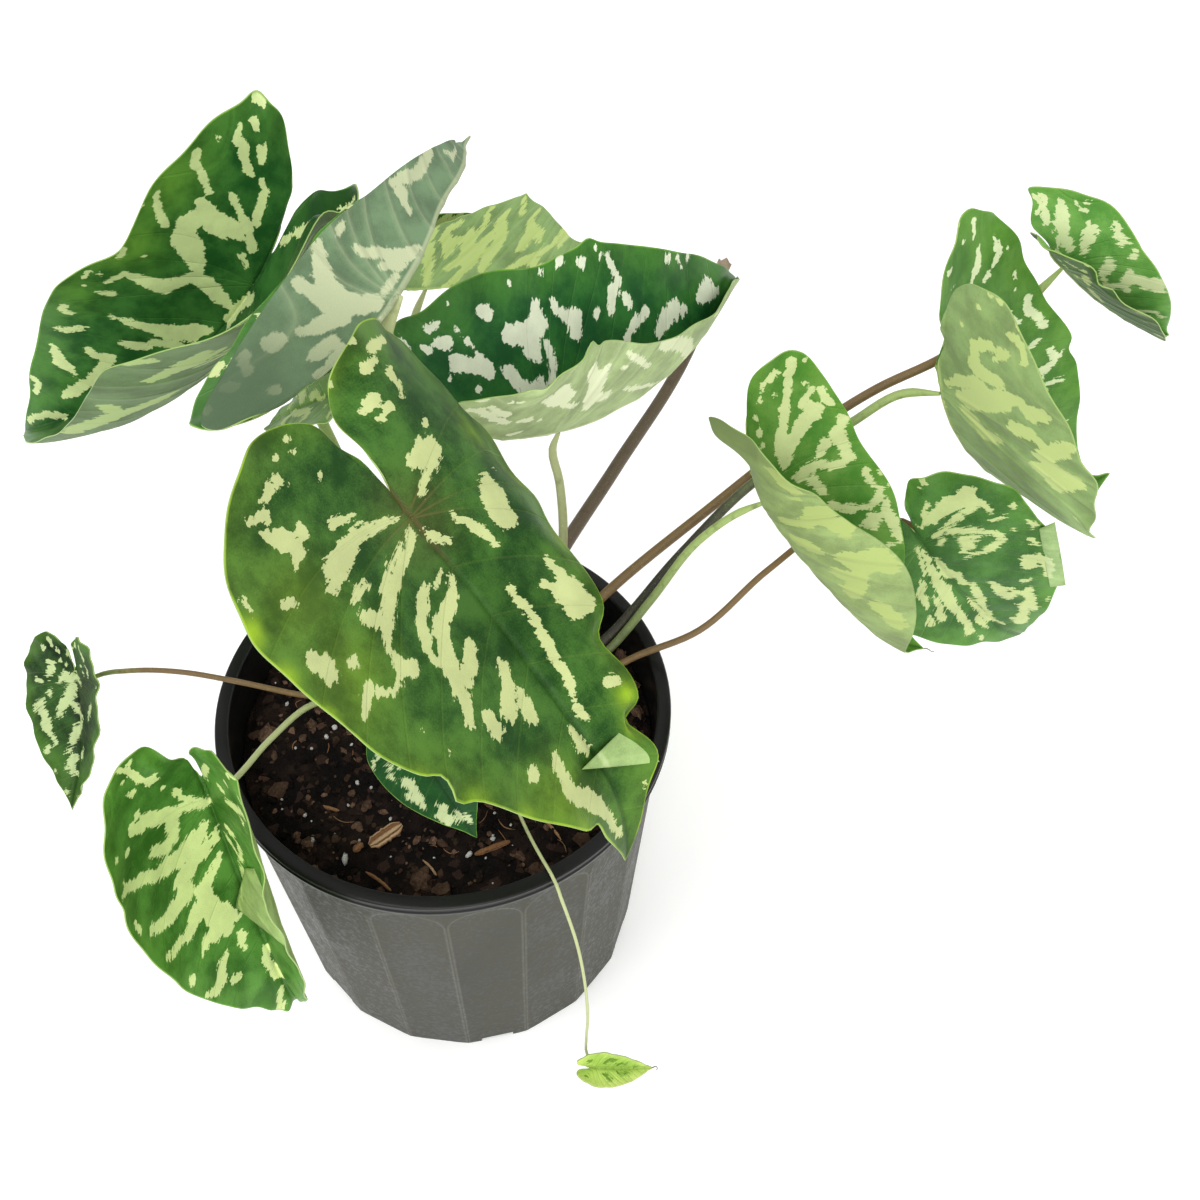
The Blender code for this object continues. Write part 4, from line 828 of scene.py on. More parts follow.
# The pale splashes: each is a run of dabs, given as the place along the midrib and the distance from it
# (hundredths of the blade's length and of its half width), and half the dab's width in millimetres.
# Negative distances are on the blade's right.
SPLASHES = {
    "front": [
        [(7, 45, 4), (10, 41, 6.8), (14, 37, 5.2), (16, 42, 2.6)], [(6, 16, 1), (10, 20, 2), (14, 23, 2),
         (17, 23, 1)], [(4, 1, 0.7), (7, 3, 2), (9, 6, 1)], [(29, 41, 1.6), (33, 42, 2.4), (37, 39, 6.8),
         (40, 34, 4), (42, 43, 3.6)], [(32, 30, 1.5), (35, 34, 3)], [(27, 14, 1.5), (35, 16, 2),
         (44, 12, 2), (53, 10, 1.5), (55, 7, 0.7)], [(56, 7, 0.5), (59, 6, 1.7), (62, 7, 0.7)],
        [(58, 25, 1.7), (60, 30, 1.7)], [(84, 15, 1)], [(61, -2, 1), (65, -4, 2.8), (67, -2, 1.8)],
        [(6, 56, 1.3)], [(-37, 30, 1), (-37, 33, 0.6)], [(-33, 39, 1.4), (-31, 54, 1)], [(-30, 38, 1),
         (-30, 30, 1.7)], [(-26, 41, 2), (-23, 40, 2), (-21, 37, 0.7)], [(-24, 25, 1.4), (-23, 18, 0.8)],
        [(-21, 27, 1.3), (-20, 19, 1)], [(-13, 39, 2)], [(-31, 14, 1)], [(-9, 27, 4.5), (-8, 31, 4.5),
         (-9, 18, 3), (-6, 25, 3)], [(-5, 19, 1.4), (-3, 11, 1.6)], [(-13, -34, 1.5), (-12, -28, 1.3)],
        [(-3, -7, 0.7), (-5, -16, 1.8), (-7, -27, 2.3), (-7, -38, 3.6), (-6, -48, 4.7), (-4, -55, 2)],
        [(-8, -31, 1), (-7, -22, 0.8)], [(1, -52, 1.3), (1, -42, 1.6)], [(2, -6, 1.8), (4, -12, 2),
         (5, -24, 2.6), (8, -39, 3), (11, -49, 2.5), (14, -55, 1)], [(2, -13, 0.7), (3, -25, 1.3),
         (5, -36, 1.4)], [(6, -53, 2.8), (8, -49, 3.2)], [(12, -17, 1), (13, -22, 2), (16, -31, 2.8),
         (21, -39, 2.3), (25, -40, 1.3)], [(13, -6, 0.8), (14, -14, 0.8)], [(16, -4, 1.5), (19, -12, 2.2),
         (20, -24, 3), (25, -32, 4), (30, -37, 3.4), (35, -41, 2.8), (40, -47, 1.6)], [(29, -21, 2.9),
         (32, -27, 3.3), (33, -33, 3.3)], [(16, -54, 1.6), (19, -56, 2.4), (21, -52, 3)], [(20, -57, 1.6),
         (22, -67, 0.6)], [(10, -72, 2)], [(5, -81, 2)], [(16, -75, 2), (18, -83, 2), (19, -88, 1)],
        [(18, -74, 1.4), (20, -68, 0.8)], [(38, -13, 2.4), (42, -19, 3.2), (46, -26, 3.7)], [(46, -15, 2.9),
         (51, -18, 2.9)], [(42, -37, 2.3), (46, -38, 3.3)], [(32, -70, 1)], [(-29, -42, 1.9),
         (-27, -40, 0.9)], [(-29, -47, 1.6), (-28, -54, 1)], [(-27, -64, 0.9), (-26, -57, 1.9),
         (-24, -57, 0.7)], [(-33, -27, 0.9)], [(-32, -36, 0.7)], [(-22, -24, 0.8)], [(-23, -62, 1.6),
         (-19, -57, 4.4), (-16, -54, 3), (-13, -61, 0.9)], [(-17, -48, 2)], [(-14, -36, 0.6),
         (-12, -30, 1.7), (-11, -24, 0.7)], [(-10, -77, 2.2), (-9, -73, 1)], [(-18, -90, 0.6),
         (-15, -92, 0.5)], [(-30, -27, 0.8)], [(60, -35, 2.5)], [(62, -20, 2), (70, -25, 3.5), (78, -15, 4),
         (90, -5, 1.4)], [(40, -65, 1)], [(62, -60, 0.8)], [(66, -55, 0.8)], [(2, -86, 3.2),
         (7, -85, 3.6)]],
    "left": [
        [(-54, -42, 2.2), (-53, -37, 0.8)], [(-49, -43, 1.4), (-46, -37, 1)], [(-47, -50, 1.2),
         (-42, -50, 1.8), (-40, -44, 3), (-35, -39, 2.2), (-32, -33, 0.8)], [(-41, -34, 0.9), (-37, -30, 2),
         (-42, -29, 1)], [(-42, -62, 1.4)], [(-37, -73, 2.7), (-34, -75, 2.2), (-30, -66, 1.7),
         (-24, -57, 1.2)], [(-21, -60, 2.3), (-17, -54, 6), (-12, -62, 6.5), (-7, -60, 7), (-4, -51, 7),
         (0, -43, 4.5), (4, -37, 2)], [(-19, -56, 4), (-15, -46, 6.5), (-14, -37, 6.5), (-14, -30, 4.5),
         (-13, -24, 2)], [(-25, -42, 0.9), (-21, -34, 1.4), (-16, -22, 2.3), (-10, -12, 1.5)],
        [(-31, -25, 0.9), (-28, -21, 1.8), (-21, -20, 2.5), (-18, -18, 0.9)], [(-21, -91, 1.4),
         (-14, -84, 2.2), (-10, -75, 1.5)], [(-7, -17, 1.3), (-5, -11, 0.9)], [(-17, -98, 1)],
        [(0, -98, 1.4), (5, -97, 1.5)], [(2, -80, 1.2)], [(19, -90, 1.4), (13, -84, 2), (13, -68, 3.8),
         (13, -53, 5), (8, -46, 3.6), (5, -41, 2.4), (6, -27, 4.8), (8, -14, 3.8), (9, -6, 1.4)],
        [(24, -79, 2.2), (26, -90, 0.8)], [(20, -107, 1.4), (16, -108, 0.9)], [(16, -99, 1.2)],
        [(25, -101, 0.8)], [(40, -95, 2.5), (44, -90, 1.6), (43, -84, 2.2)], [(54, -76, 1), (51, -71, 2.3),
         (45, -66, 1)], [(35, -66, 0.7), (33, -53, 1.6), (30, -38, 3.5), (28, -26, 5.4), (23, -13, 5.6),
         (19, -6, 1.2)], [(34, -27, 2.7), (29, -13, 2.2)], [(42, -41, 1), (40, -36, 2.7), (37, -27, 2)],
        [(61, -62, 1.3), (64, -46, 3.6), (63, -38, 2.8), (63, -32, 0.9)], [(52, -50, 1), (52, -42, 2.8),
         (49, -34, 3.3), (54, -29, 2.8), (61, -23, 2.6), (68, -19, 3.7), (72, -17, 1)], [(77, -39, 1.6),
         (77, -32, 1.6), (81, -25, 1.3)], [(92, -7, 1.4), (81, -7, 2), (75, -2, 1.6)], [(12, 0, 3.6),
         (7, 0, 2.6), (1, 5, 1.7)], [(-2, 77, 4), (-14, 78, 3.4)], [(31, 3, 4.5), (21, 3, 3)],
        [(43, 65, 2.4), (27, 64, 2.5), (22, 75, 3)], [(63, 11, 4.4), (52, 2, 1)], [(-38, 21, 0.1),
         (-48, 33, 0.2)], [(-43, 20, 0.1), (-51, 29, 0.2)], [(-17, 4, 0.6), (-25, 11, 1.2), (-31, 18, 1.4),
         (-37, 27, 0.2)], [(-27, 28, 0.1), (-22, 24, 0.1)], [(45, 62, 3), (36, 66, 4), (28, 66, 4),
         (20, 62, 3), (12, 58, 2)], [(2, 80, 2.5), (-6, 74, 4), (-10, 80, 3)]],
    "centre_folded": [
        [(-1, -96, 1.8), (-5, -84, 3.4), (-9, -69, 4.2), (-11, -50, 4.6), (-10, -30, 4.8), (-6, -14, 3.6)],
        [(-15, -88, 2.4), (-14, -74, 3), (-15, -55, 2.6), (-15, -35, 4.7), (-21, -43, 3.6),
         (-26, -53, 1.6)], [(6, -61, 0.8), (6, -50, 1.9), (9, -38, 2), (10, -26, 3.3), (13, -14, 3),
         (18, -6, 1.7)], [(6, -27, 1.6), (9, -12, 1.8)], [(60, -46, 1.8), (50, -45, 3.2), (45, -44, 2.4),
         (39, -56, 3), (33, -65, 1.7)], [(33, -53, 3.7), (30, -40, 1.7), (29, -31, 1)], [(78, -16, 0.7),
         (67, -18, 0.9), (67, -29, 0.7)], [(-34, -66, 4.5), (-35, -69, 2.8), (-32, -63, 2.8)],
        [(-42, -75, 2.2), (-44, -72, 1.5), (-45, -60, 1.5)], [(-52, -59, 2.6), (-51, -56, 1.5)],
        [(-44, -26, 1.8)], [(-60, -53, 1)], [(-23, -24, 2.6), (-29, -24, 2.8)], [(5, -11, 1),
         (-1, -13, 1.4)], [(-33, -6, 1.8), (-23, -11, 1.6)], [(6, -85, 1.3), (9, -88, 0.8)],
        [(16, 86, 0.9)], [(10, 85, 0.8)], [(59, 6, 0.7), (66, 5, 0.7)]],
    "back": [
        [(-6, -91, 1.2), (-12, -87, 1.8), (-12, -77, 1.5), (-6, -66, 1.8), (-1, -53, 1.9), (-1, -48, 0.8)],
        [(-1, -65, 1.7), (3, -67, 1.7)], [(5, -79, 1), (8, -68, 2.3), (11, -52, 3.4), (11, -40, 3),
         (5, -28, 0.8)], [(25, -91, 1.9), (24, -83, 2.3), (28, -68, 2.9), (30, -53, 3.6), (28, -40, 3.6),
         (28, -27, 2.6), (28, -19, 1)], [(21, -63, 2.6), (18, -55, 3), (18, -38, 3), (16, -22, 1.8),
         (14, -11, 1), (10, 0, 0.5)], [(11, -104, 0.6), (13, -86, 0.5), (12, -75, 0.7)], [(50, -79, 1.2),
         (48, -70, 1.4), (51, -57, 2), (50, -48, 3.2), (49, -38, 2)], [(57, -51, 2), (60, -46, 1.6),
         (60, -39, 1)], [(36, -101, 0.4), (38, -87, 0.4)], [(76, -36, 1.3), (80, -27, 2.4), (79, -19, 1.4)],
        [(73, -29, 1.4), (69, -22, 1.2), (58, -17, 2), (51, -14, 1.7), (45, -9, 1.5), (41, -5, 0.6)],
        [(63, -9, 1.8)], [(-25, -89, 2), (-21, -76, 2), (-22, -66, 0.8)], [(-17, -63, 0.8), (-14, -55, 0.8),
         (-11, -43, 1.6), (-7, -31, 1.8), (-4, -20, 1.3), (-2, -9, 0.7)]],
    "centre": [
        [(33, 90, 1.8), (35, 73, 1.5), (31, 69, 2.7), (29, 61, 2.9), (28, 58, 1)], [(36, 60, 2.5),
         (36, 55, 1.6)], [(28, 98, 0.7), (29, 93, 0.6)], [(11, 101, 1.7), (10, 98, 1.3)], [(18, 97, 1.4),
         (20, 94, 2)], [(1, 97, 1.3)], [(-14, 91, 1.3)], [(60, 61, 1.9), (59, 60, 1.4)], [(65, 54, 0.9),
         (65, 48, 1)], [(70, 47, 1.4)], [(74, 22, 2.3), (68, 20, 3), (73, 14, 3.7), (77, 10, 1.2)],
        [(4, 79, 1.2), (6, 71, 1.9), (9, 67, 2.8), (13, 64, 3.7), (12, 57, 3.7), (12, 52, 1)],
        [(22, 62, 1.6)], [(42, 45, 2.2), (35, 42, 2), (31, 37, 2)], [(55, 31, 3.6), (48, 31, 3.9),
         (45, 27, 2.6)], [(59, 25, 2), (57, 24, 1.7)], [(-3, 75, 3.7), (-3, 66, 4.7), (-8, 61, 4.9),
         (-15, 62, 3.3)], [(-6, 60, 4.5), (-6, 53, 4.7), (-4, 46, 1.6)], [(0, 65, 1.9)], [(0, 52, 1.8),
         (1, 40, 1.9), (0, 32, 1.4)], [(-27, 74, 1.7), (-23, 73, 2.8)], [(-46, 57, 2.4), (-43, 60, 1.2)],
        [(-54, 34, 3), (-51, 35, 1.5)], [(-38, 50, 3), (-42, 48, 1.4)], [(-47, 42, 1), (-44, 41, 1.2)],
        [(-36, 60, 0.5), (-34, 59, 0.4)], [(-34, 37, 2), (-34, 41, 2.9), (-28, 42, 3.3), (-22, 41, 3),
         (-21, 37, 1.2)], [(-30, 54, 1), (-27, 51, 1.5), (-25, 44, 2.4)], [(-15, 40, 2.4), (-9, 28, 2),
         (-3, 28, 2.5)], [(-4, 33, 1.2)], [(-25, 28, 0.8)], [(-35, 30, 0.8)], [(-40, 73, 0.7)],
        [(-17, -98, 1.8)], [(-6, -81, 3.8), (1, -65, 5), (2, -49, 4.6), (3, -34, 2)], [(7, -42, 3.8)],
        [(3, -78, 1.5), (3, -70, 1.7)], [(-22, -72, 4.4), (-13, -57, 5), (-24, -63, 4.2)], [(-27, -62, 1.5),
         (-5, -46, 1.5)], [(10, -83, 1), (15, -72, 1.4), (22, -54, 0.9)], [(10, -70, 1.5)], [(26, -71, 3),
         (33, -61, 3.4), (42, -41, 3.8), (51, -5, 2.5)], [(61, -38, 4.3), (63, -39, 2.3)], [(15, -40, 1.2),
         (23, -29, 1.2), (37, -5, 0.9)], [(-52, -37, 1.5), (-50, -43, 2.3), (-41, -37, 2.3), (-32, -32, 2)],
        [(-48, -49, 1.5), (-37, -44, 2)], [(-24, -37, 2.2), (-27, -35, 1.5)], [(-18, -35, 1)],
        [(-22, -10, 2), (-20, -17, 1)], [(-45, -61, 1), (-40, -64, 0.7)], [(-57, -51, 1.2), (-54, -55, 1)]],
    "right_folded": [
        [(-53, 38, 1.8), (-49, 40, 2), (-41, 42, 1.3), (-34, 41, 1.3), (-27, 38, 2), (-21, 35, 2.6),
         (-15, 30, 2)], [(-39, 62, 2), (-33, 56, 1.8), (-30, 69, 4), (-25, 57, 3.5), (-20, 48, 2.8),
         (-15, 38, 2.8), (-10, 29, 2)], [(-40, 73, 1.3), (-33, 80, 1.6)], [(-48, 27, 1.3), (-45, 26, 1)],
        [(-39, 32, 1)], [(-43, 18, 0.8)], [(-40, 19, 0.7), (-36, 18, 0.7)], [(-44, 55, 0.8)],
        [(-55, 49, 0.8)], [(-29, 12, 0.7)], [(-24, 16, 0.6)], [(-19, 16, 0.7)], [(-25, 89, 1.3),
         (-20, 95, 1.3), (-18, 87, 2), (-12, 83, 3.7), (-6, 85, 2.8), (1, 85, 2.3), (2, 77, 1.9),
         (1, 67, 1.5), (-3, 57, 2), (-3, 45, 2.6), (-2, 35, 1.7)], [(-11, 71, 3), (-7, 63, 1.5)],
        [(2, 45, 2.3), (8, 48, 1.9)], [(11, 90, 1.7), (14, 89, 1.7), (17, 90, 0.8)], [(14, 102, 0.8)],
        [(21, 102, 0.8)], [(21, 91, 1.9), (25, 86, 1.7), (25, 76, 1.3), (23, 67, 1.3), (18, 51, 1)],
        [(28, 90, 1.7), (32, 84, 2), (37, 84, 2.7), (43, 80, 1.9), (47, 80, 1)], [(33, 77, 1.7),
         (31, 70, 1.9), (31, 62, 1.5), (35, 68, 1)], [(46, 68, 1.2)], [(-45, -69, 1.9), (-42, -76, 3),
         (-32, -81, 2.2), (-24, -79, 1.4)], [(-5, -54, 2.7), (-3, -76, 4), (-14, -92, 5.2), (-3, -88, 4.4),
         (3, -96, 3.5), (6, -91, 1.9)], [(7, -48, 2.5), (9, -58, 2.9), (11, -63, 2)], [(16, -80, 3.6),
         (20, -85, 5.8), (20, -98, 4.9), (25, -99, 3.6)], [(23, -63, 3.3), (26, -75, 3.3), (34, -57, 3.7)],
        [(42, -69, 3.6), (54, -68, 2.8)]],
    "right_low": [
        [(-36, 35, 0.9), (-33, 34, 1), (-31, 28, 0.5)], [(-11, 10, 1), (-13, 19, 2.3), (-15, 31, 3),
         (-18, 42, 4.2), (-19, 56, 4.5), (-22, 63, 2.7)], [(-16, 62, 3), (-12, 53, 1.8)], [(-16, 62, 2.4),
         (-12, 67, 1), (-9, 69, 0.7)], [(-21, 24, 0.7), (-18, 19, 0.6), (-14, 14, 0.5)], [(-10, 43, 1.3),
         (-7, 30, 0.8)], [(-3, 14, 1), (-5, 23, 1), (-3, 30, 1.7), (-2, 40, 1.7), (0, 48, 1.6), (3, 55, 1),
         (5, 62, 1), (9, 64, 1.2), (11, 57, 1.2), (13, 48, 1.7), (14, 43, 1.2), (13, 34, 0.7),
         (14, 26, 0.5)], [(4, 35, 2.7), (8, 35, 2), (10, 28, 0.9)], [(4, 44, 2.2)], [(0, 18, 0.9),
         (2, 14, 0.6)], [(-8, 88, 1.5)], [(-4, 75, 0.7), (-3, 65, 0.6)], [(6, 76, 0.8)], [(3, 92, 0.4),
         (6, 94, 1.3), (8, 91, 0.6)], [(14, 83, 0.6), (18, 87, 0.5)], [(30, 69, 2.7), (25, 72, 2.3),
         (26, 80, 2.5), (30, 85, 2.2), (34, 83, 1.7), (40, 77, 1.4)], [(40, 55, 1), (41, 59, 0.8)],
        [(35, 31, 1), (42, 31, 1.9), (50, 32, 1.8)], [(42, 37, 1.6), (46, 41, 0.9), (50, 46, 1),
         (48, 52, 1.8), (56, 47, 1.9), (64, 43, 1.9)], [(57, 33, 0.6), (59, 38, 1.6), (67, 31, 2),
         (76, 20, 2.2)], [(74, 26, 1.2), (70, 19, 1.3)], [(60, 60, 0.8)], [(33, 14, 1), (38, 13, 1.6),
         (46, 10, 1.8), (53, 6, 0.8), (62, 2, 1.2), (66, 1, 0.9), (73, 6, 0.3)], [(44, 1, 0.5),
         (52, 0, 0.8), (65, -1, 0.8)], [(59, -7, 0.8), (65, -8, 1.2), (70, -8, 0.7)], [(74, -21, 0.8),
         (77, -24, 0.4)], [(11, 3, 1), (18, 2, 1.9), (23, 3, 2.5), (24, 9, 1.9), (31, 8, 0.9)],
        [(3, -5, 0.6), (8, -5, 0.9), (14, -8, 1.4), (22, -11, 2.2), (29, -11, 3.2), (36, -14, 2.9),
         (42, -16, 2.2), (49, -17, 1.8), (57, -19, 1.4), (65, -23, 2)], [(31, -23, 1), (39, -28, 1.8),
         (45, -34, 1.5)], [(0, -7, 0.4), (8, -11, 0.4), (16, -17, 0.2)], [(19, -24, 1.3), (24, -32, 1.6),
         (30, -35, 1), (34, -36, 0.5)], [(40, -40, 0.8), (44, -46, 1.9)]],
    "right_far": [
        [(-49, 29, 0.9)], [(-42, 34, 0.9)], [(-46, 47, 1.4), (-41, 49, 1), (-40, 48, 0.6)], [(-38, 18, 1.2),
         (-38, 14, 0.6)], [(-31, 22, 0.6)], [(-35, 54, 0.5), (-32, 53, 1.4), (-29, 51, 2.8), (-27, 44, 1.8),
         (-24, 39, 0.8), (-21, 33, 0.5)], [(-33, 72, 0.6), (-30, 73, 2), (-27, 73, 1.6), (-25, 67, 0.8),
         (-23, 56, 0.5)], [(-26, 82, 0.8)], [(-15, 85, 1.7)], [(-11, 81, 0.8)], [(-5, 88, 1.9),
         (-2, 85, 2.5), (3, 89, 2.3), (9, 91, 1.7)], [(13, 77, 2), (13, 82, 1.3)], [(21, 86, 1.7),
         (26, 87, 3.3), (28, 92, 2.2)], [(27, 87, 2.8), (28, 78, 2.4), (25, 68, 1)], [(28, 62, 1.3)],
        [(33, 70, 1), (36, 76, 1.3), (38, 81, 1)], [(47, 61, 1.8)], [(58, 59, 0.9)], [(-27, 16, 0.7)],
        [(-17, 17, 0.8)], [(-50, -39, 0.7)], [(-44, -32, 0.8)], [(-50, -45, 0.9)], [(-34, -21, 0.6)],
        [(-43, -55, 1.6), (-44, -60, 2.2), (-43, -61, 1.6)], [(-48, -58, 1.3)], [(-40, -65, 1),
         (-37, -63, 0.7)], [(-35, -42, 1.9), (-31, -31, 2), (-27, -31, 2.4), (-23, -31, 3.4),
         (-23, -38, 4.6), (-25, -47, 3)], [(-32, -46, 1), (-35, -49, 1.5), (-37, -53, 1.3)], [(-6, -6, 1.4),
         (-11, -15, 2), (-15, -24, 2.5), (-17, -34, 3.9)], [(-5, -19, 4.4), (-13, -37, 5.4),
         (-20, -52, 4.2), (-24, -63, 2)], [(-21, -67, 4.2), (-26, -79, 2.6)], [(-10, -56, 3.9),
         (-13, -69, 3.6), (-12, -76, 1.9)], [(0, -18, 3), (1, -25, 3.6), (4, -30, 3.6), (1, -42, 2)],
        [(-21, -95, 2), (-18, -90, 2.8), (-12, -81, 3.4), (-4, -70, 2.3)], [(3, -67, 3.6), (-2, -80, 5.4),
         (-2, -88, 4.5), (7, -75, 3.6)], [(19, -85, 1.2)]],
    "right_top": [
        [(-48, 31, 0.5), (-45, 30, 0.7), (-42, 31, 1.3), (-37, 30, 1.6), (-33, 27, 0.9), (-31, 24, 0.4)],
        [(-46, 41, 0.6), (-43, 40, 0.7), (-41, 35, 0.8)], [(-41, 22, 0.4), (-40, 21, 0.4)], [(-41, 56, 0.7),
         (-37, 53, 1.4), (-33, 45, 2.2), (-29, 40, 2.3), (-24, 32, 2), (-19, 26, 1.9), (-16, 26, 2.4),
         (-11, 22, 1.7)], [(-25, 21, 0.5)], [(-20, 18, 0.6), (-17, 14, 0.8), (-12, 8, 0.4)],
        [(-35, 68, 0.5), (-33, 64, 0.7), (-30, 65, 0.7), (-27, 68, 0.7)], [(-31, 76, 1.3)], [(-21, 63, 0.5),
         (-15, 54, 1.7), (-13, 49, 2.3), (-10, 40, 1.7), (-7, 38, 0.7), (-5, 32, 0.5)], [(-16, 62, 1.6)],
        [(-16, 89, 0.9)], [(-13, 81, 0.6)], [(-13, 90, 0.4), (-11, 85, 0.8), (-9, 78, 0.8)], [(-7, 89, 0.6),
         (-6, 84, 1.3), (-4, 79, 0.6)], [(-1, 92, 0.5)], [(4, 81, 1.3), (3, 88, 0.7)], [(4, 54, 1.6),
         (8, 46, 2), (11, 37, 1.9), (14, 29, 0.6)], [(16, 29, 1), (21, 24, 1), (24, 25, 1), (24, 33, 1.3),
         (26, 41, 1.6), (20, 54, 2.4), (15, 63, 1)], [(23, 59, 3.2), (25, 67, 3.6), (29, 73, 4),
         (27, 82, 3), (34, 70, 2.8), (37, 73, 1.5)], [(32, 60, 2)], [(30, 38, 1)], [(43, 15, 0.4),
         (50, 15, 0.8), (54, 22, 0.8), (58, 37, 0.9), (69, 35, 0.7)], [(57, 15, 0.6), (63, 22, 0.3)],
        [(72, 17, 0.3)], [(82, 4, 0.4)], [(-23, -59, 0.4)], [(-9, -23, 0.5)], [(-15, -54, 0.8)],
        [(1, -22, 1)], [(-24, -95, 0.9)], [(-5, -54, 1), (1, -38, 1.8), (5, -33, 0.7)], [(14, -24, 1.5),
         (20, -21, 1.6), (26, -15, 0.7)], [(20, -57, 0.3), (26, -64, 0.7), (25, -78, 0.8), (28, -92, 1)],
        [(19, -78, 0.4), (22, -88, 0.8), (26, -98, 0.8)], [(36, -62, 0.2), (37, -75, 0.5), (38, -84, 0.3)],
        [(56, -45, 0.4), (62, -50, 0.3)], [(0, -46, 1), (-3, -52, 0.6)], [(-12, -62, 0.6), (-14, -72, 0.6)],
        [(-20, -50, 0.3)], [(-14, -25, 0.3)]],
    "small_left": [
        [(-31, -51, 0.9)], [(-38, -38, 0.6), (-33, -34, 0.7), (-29, -28, 1), (-28, -22, 0.7)],
        [(-19, -46, 1.6), (-17, -38, 1.6), (-11, -45, 1.6), (-6, -50, 0.9)], [(-3, -75, 0.8),
         (-2, -63, 0.6)], [(7, -47, 1.3)], [(-20, -21, 0.5), (-17, -14, 0.6)], [(-9, -17, 1.6),
         (-3, -28, 1.2)], [(-6, -11, 2.7), (-7, 0, 1.7), (-3, 17, 0.9)], [(2, -8, 2), (9, -14, 2.4),
         (14, -22, 2), (20, -29, 1.8), (25, -34, 0.6)], [(19, -76, 1.4), (16, -65, 1.5)], [(23, -77, 0.9),
         (24, -63, 1.8), (29, -59, 1.9), (36, -56, 2.3), (41, -50, 1.4), (47, -39, 0.8)], [(53, -50, 1),
         (56, -53, 0.9)], [(18, -8, 1), (21, 6, 2), (25, 14, 1.5), (33, 5, 1.6), (39, -8, 1.8), (47, -9, 1),
         (52, -15, 1), (53, -19, 0.6)], [(50, 19, 0.6), (56, 11, 0.9)], [(58, -8, 1.5), (65, -9, 1.3),
         (70, -6, 1.3), (70, 4, 0.8)], [(67, -18, 0.7)], [(71, -36, 0.6)], [(86, -14, 0.9), (88, -11, 0.6)],
        [(88, 15, 0.6)], [(-33, 11, 0.6), (-27, -7, 0.6)], [(-35, 21, 0.5), (-31, 10, 0.7)],
        [(-36, 37, 0.5), (-22, 45, 0.5), (-18, 57, 0.9), (-13, 57, 0.6)], [(-18, 28, 0.5), (-12, 35, 0.6)],
        [(-8, 92, 0.5)], [(9, 64, 0.4), (16, 50, 0.9), (22, 45, 0.9)]],
    "low_left": [
        [(-43, -33, 0.7)], [(-30, -21, 0.5)], [(-47, -41, 0.7), (-41, -38, 0.9), (-34, -35, 1.8),
         (-29, -31, 1.8), (-25, -29, 1)], [(-29, -27, 0.9), (-24, -24, 0.5)], [(-38, -45, 0.8)],
        [(-18, -25, 0.9)], [(-31, -48, 0.8), (-29, -45, 1.7)], [(-12, -17, 1), (-8, -16, 1), (-4, -9, 0.6),
         (0, 0, 0.6)], [(0, -2, 0.8), (-2, -8, 1.8), (-4, -16, 2), (-6, -27, 2.4), (-9, -36, 3),
         (-14, -44, 2.3), (-19, -48, 1.5)], [(-13, -49, 3), (-18, -58, 1.5)], [(-3, -28, 3.4),
         (2, -30, 2.2), (2, -40, 2.2), (-1, -49, 1.9)], [(-14, -70, 1.7)], [(-21, -82, 0.9)], [(6, -9, 1.5),
         (8, -15, 3.3), (9, -23, 3.7), (9, -32, 4), (8, -40, 3.2), (6, -53, 2.2), (2, -64, 2),
         (-1, -75, 2.2), (-5, -84, 1.5), (-9, -95, 1)], [(-9, -85, 0.9)], [(10, -2, 0.7), (13, -7, 1.5),
         (14, -17, 3.3), (15, -31, 4), (16, -39, 3), (21, -37, 4), (21, -46, 3.8), (21, -55, 3.3),
         (20, -65, 2.3), (16, -78, 1.3)], [(19, -6, 0.8), (23, -16, 1.5), (25, -22, 2.5), (26, -27, 4.2),
         (32, -27, 5), (38, -23, 5.6), (44, -20, 3.9)], [(42, -29, 3.9), (41, -37, 2.4), (43, -45, 0.8)],
        [(38, -16, 2), (44, -12, 1.5)], [(29, -36, 3), (32, -43, 2.8), (33, -48, 2.2), (31, -59, 1.3),
         (29, -75, 1)], [(7, -89, 0.5), (10, -88, 0.8)], [(52, -29, 1.2), (53, -34, 1.9), (57, -39, 2.8),
         (58, -44, 2.2), (58, -50, 1.7), (55, -56, 0.9)], [(62, -32, 1.7), (64, -26, 1)], [(46, -61, 1.7)],
        [(51, -13, 1.4), (54, -15, 1.2), (57, -15, 0.5)], [(63, -1, 1.8), (66, -5, 1.6), (71, -4, 2),
         (75, -2, 2), (79, 3, 1.6)], [(83, -4, 1), (88, -9, 1.6), (91, -11, 1)], [(-23, 17, 0.5),
         (-14, 6, 1), (-11, 6, 0.6)], [(-45, 48, 0.7), (-36, 43, 0.9)], [(-25, 36, 0.7)], [(-14, 22, 1.6)],
        [(-8, 23, 1.4), (-11, 34, 2.2), (-20, 53, 2)], [(-33, 58, 1.2)], [(-8, 41, 1.6)], [(6, 9, 0.5),
         (7, 11, 1), (8, 15, 1)], [(11, 5, 0.3), (15, 8, 0.7), (18, 11, 0.4)], [(11, 19, 1), (16, 17, 1),
         (20, 11, 0.7)], [(24, 10, 1.3), (30, 6, 1.5), (33, 6, 0.8)]],
    "under_front": [
        [(19, -55, 2), (27, -51, 1.5), (32, -56, 1.5), (40, -54, 1.5), (49, -56, 0.3)], [(32, -67, 0.8)],
        [(53, -27, 0.4), (60, -24, 1.4), (63, -37, 1.4), (70, -30, 1.9), (72, -18, 1.2)], [(68, -6, 0.6),
         (71, -5, 0.9), (77, -6, 0.6)], [(78, 7, 0.9), (85, 6, 0.5)]],
    "behind_front": [
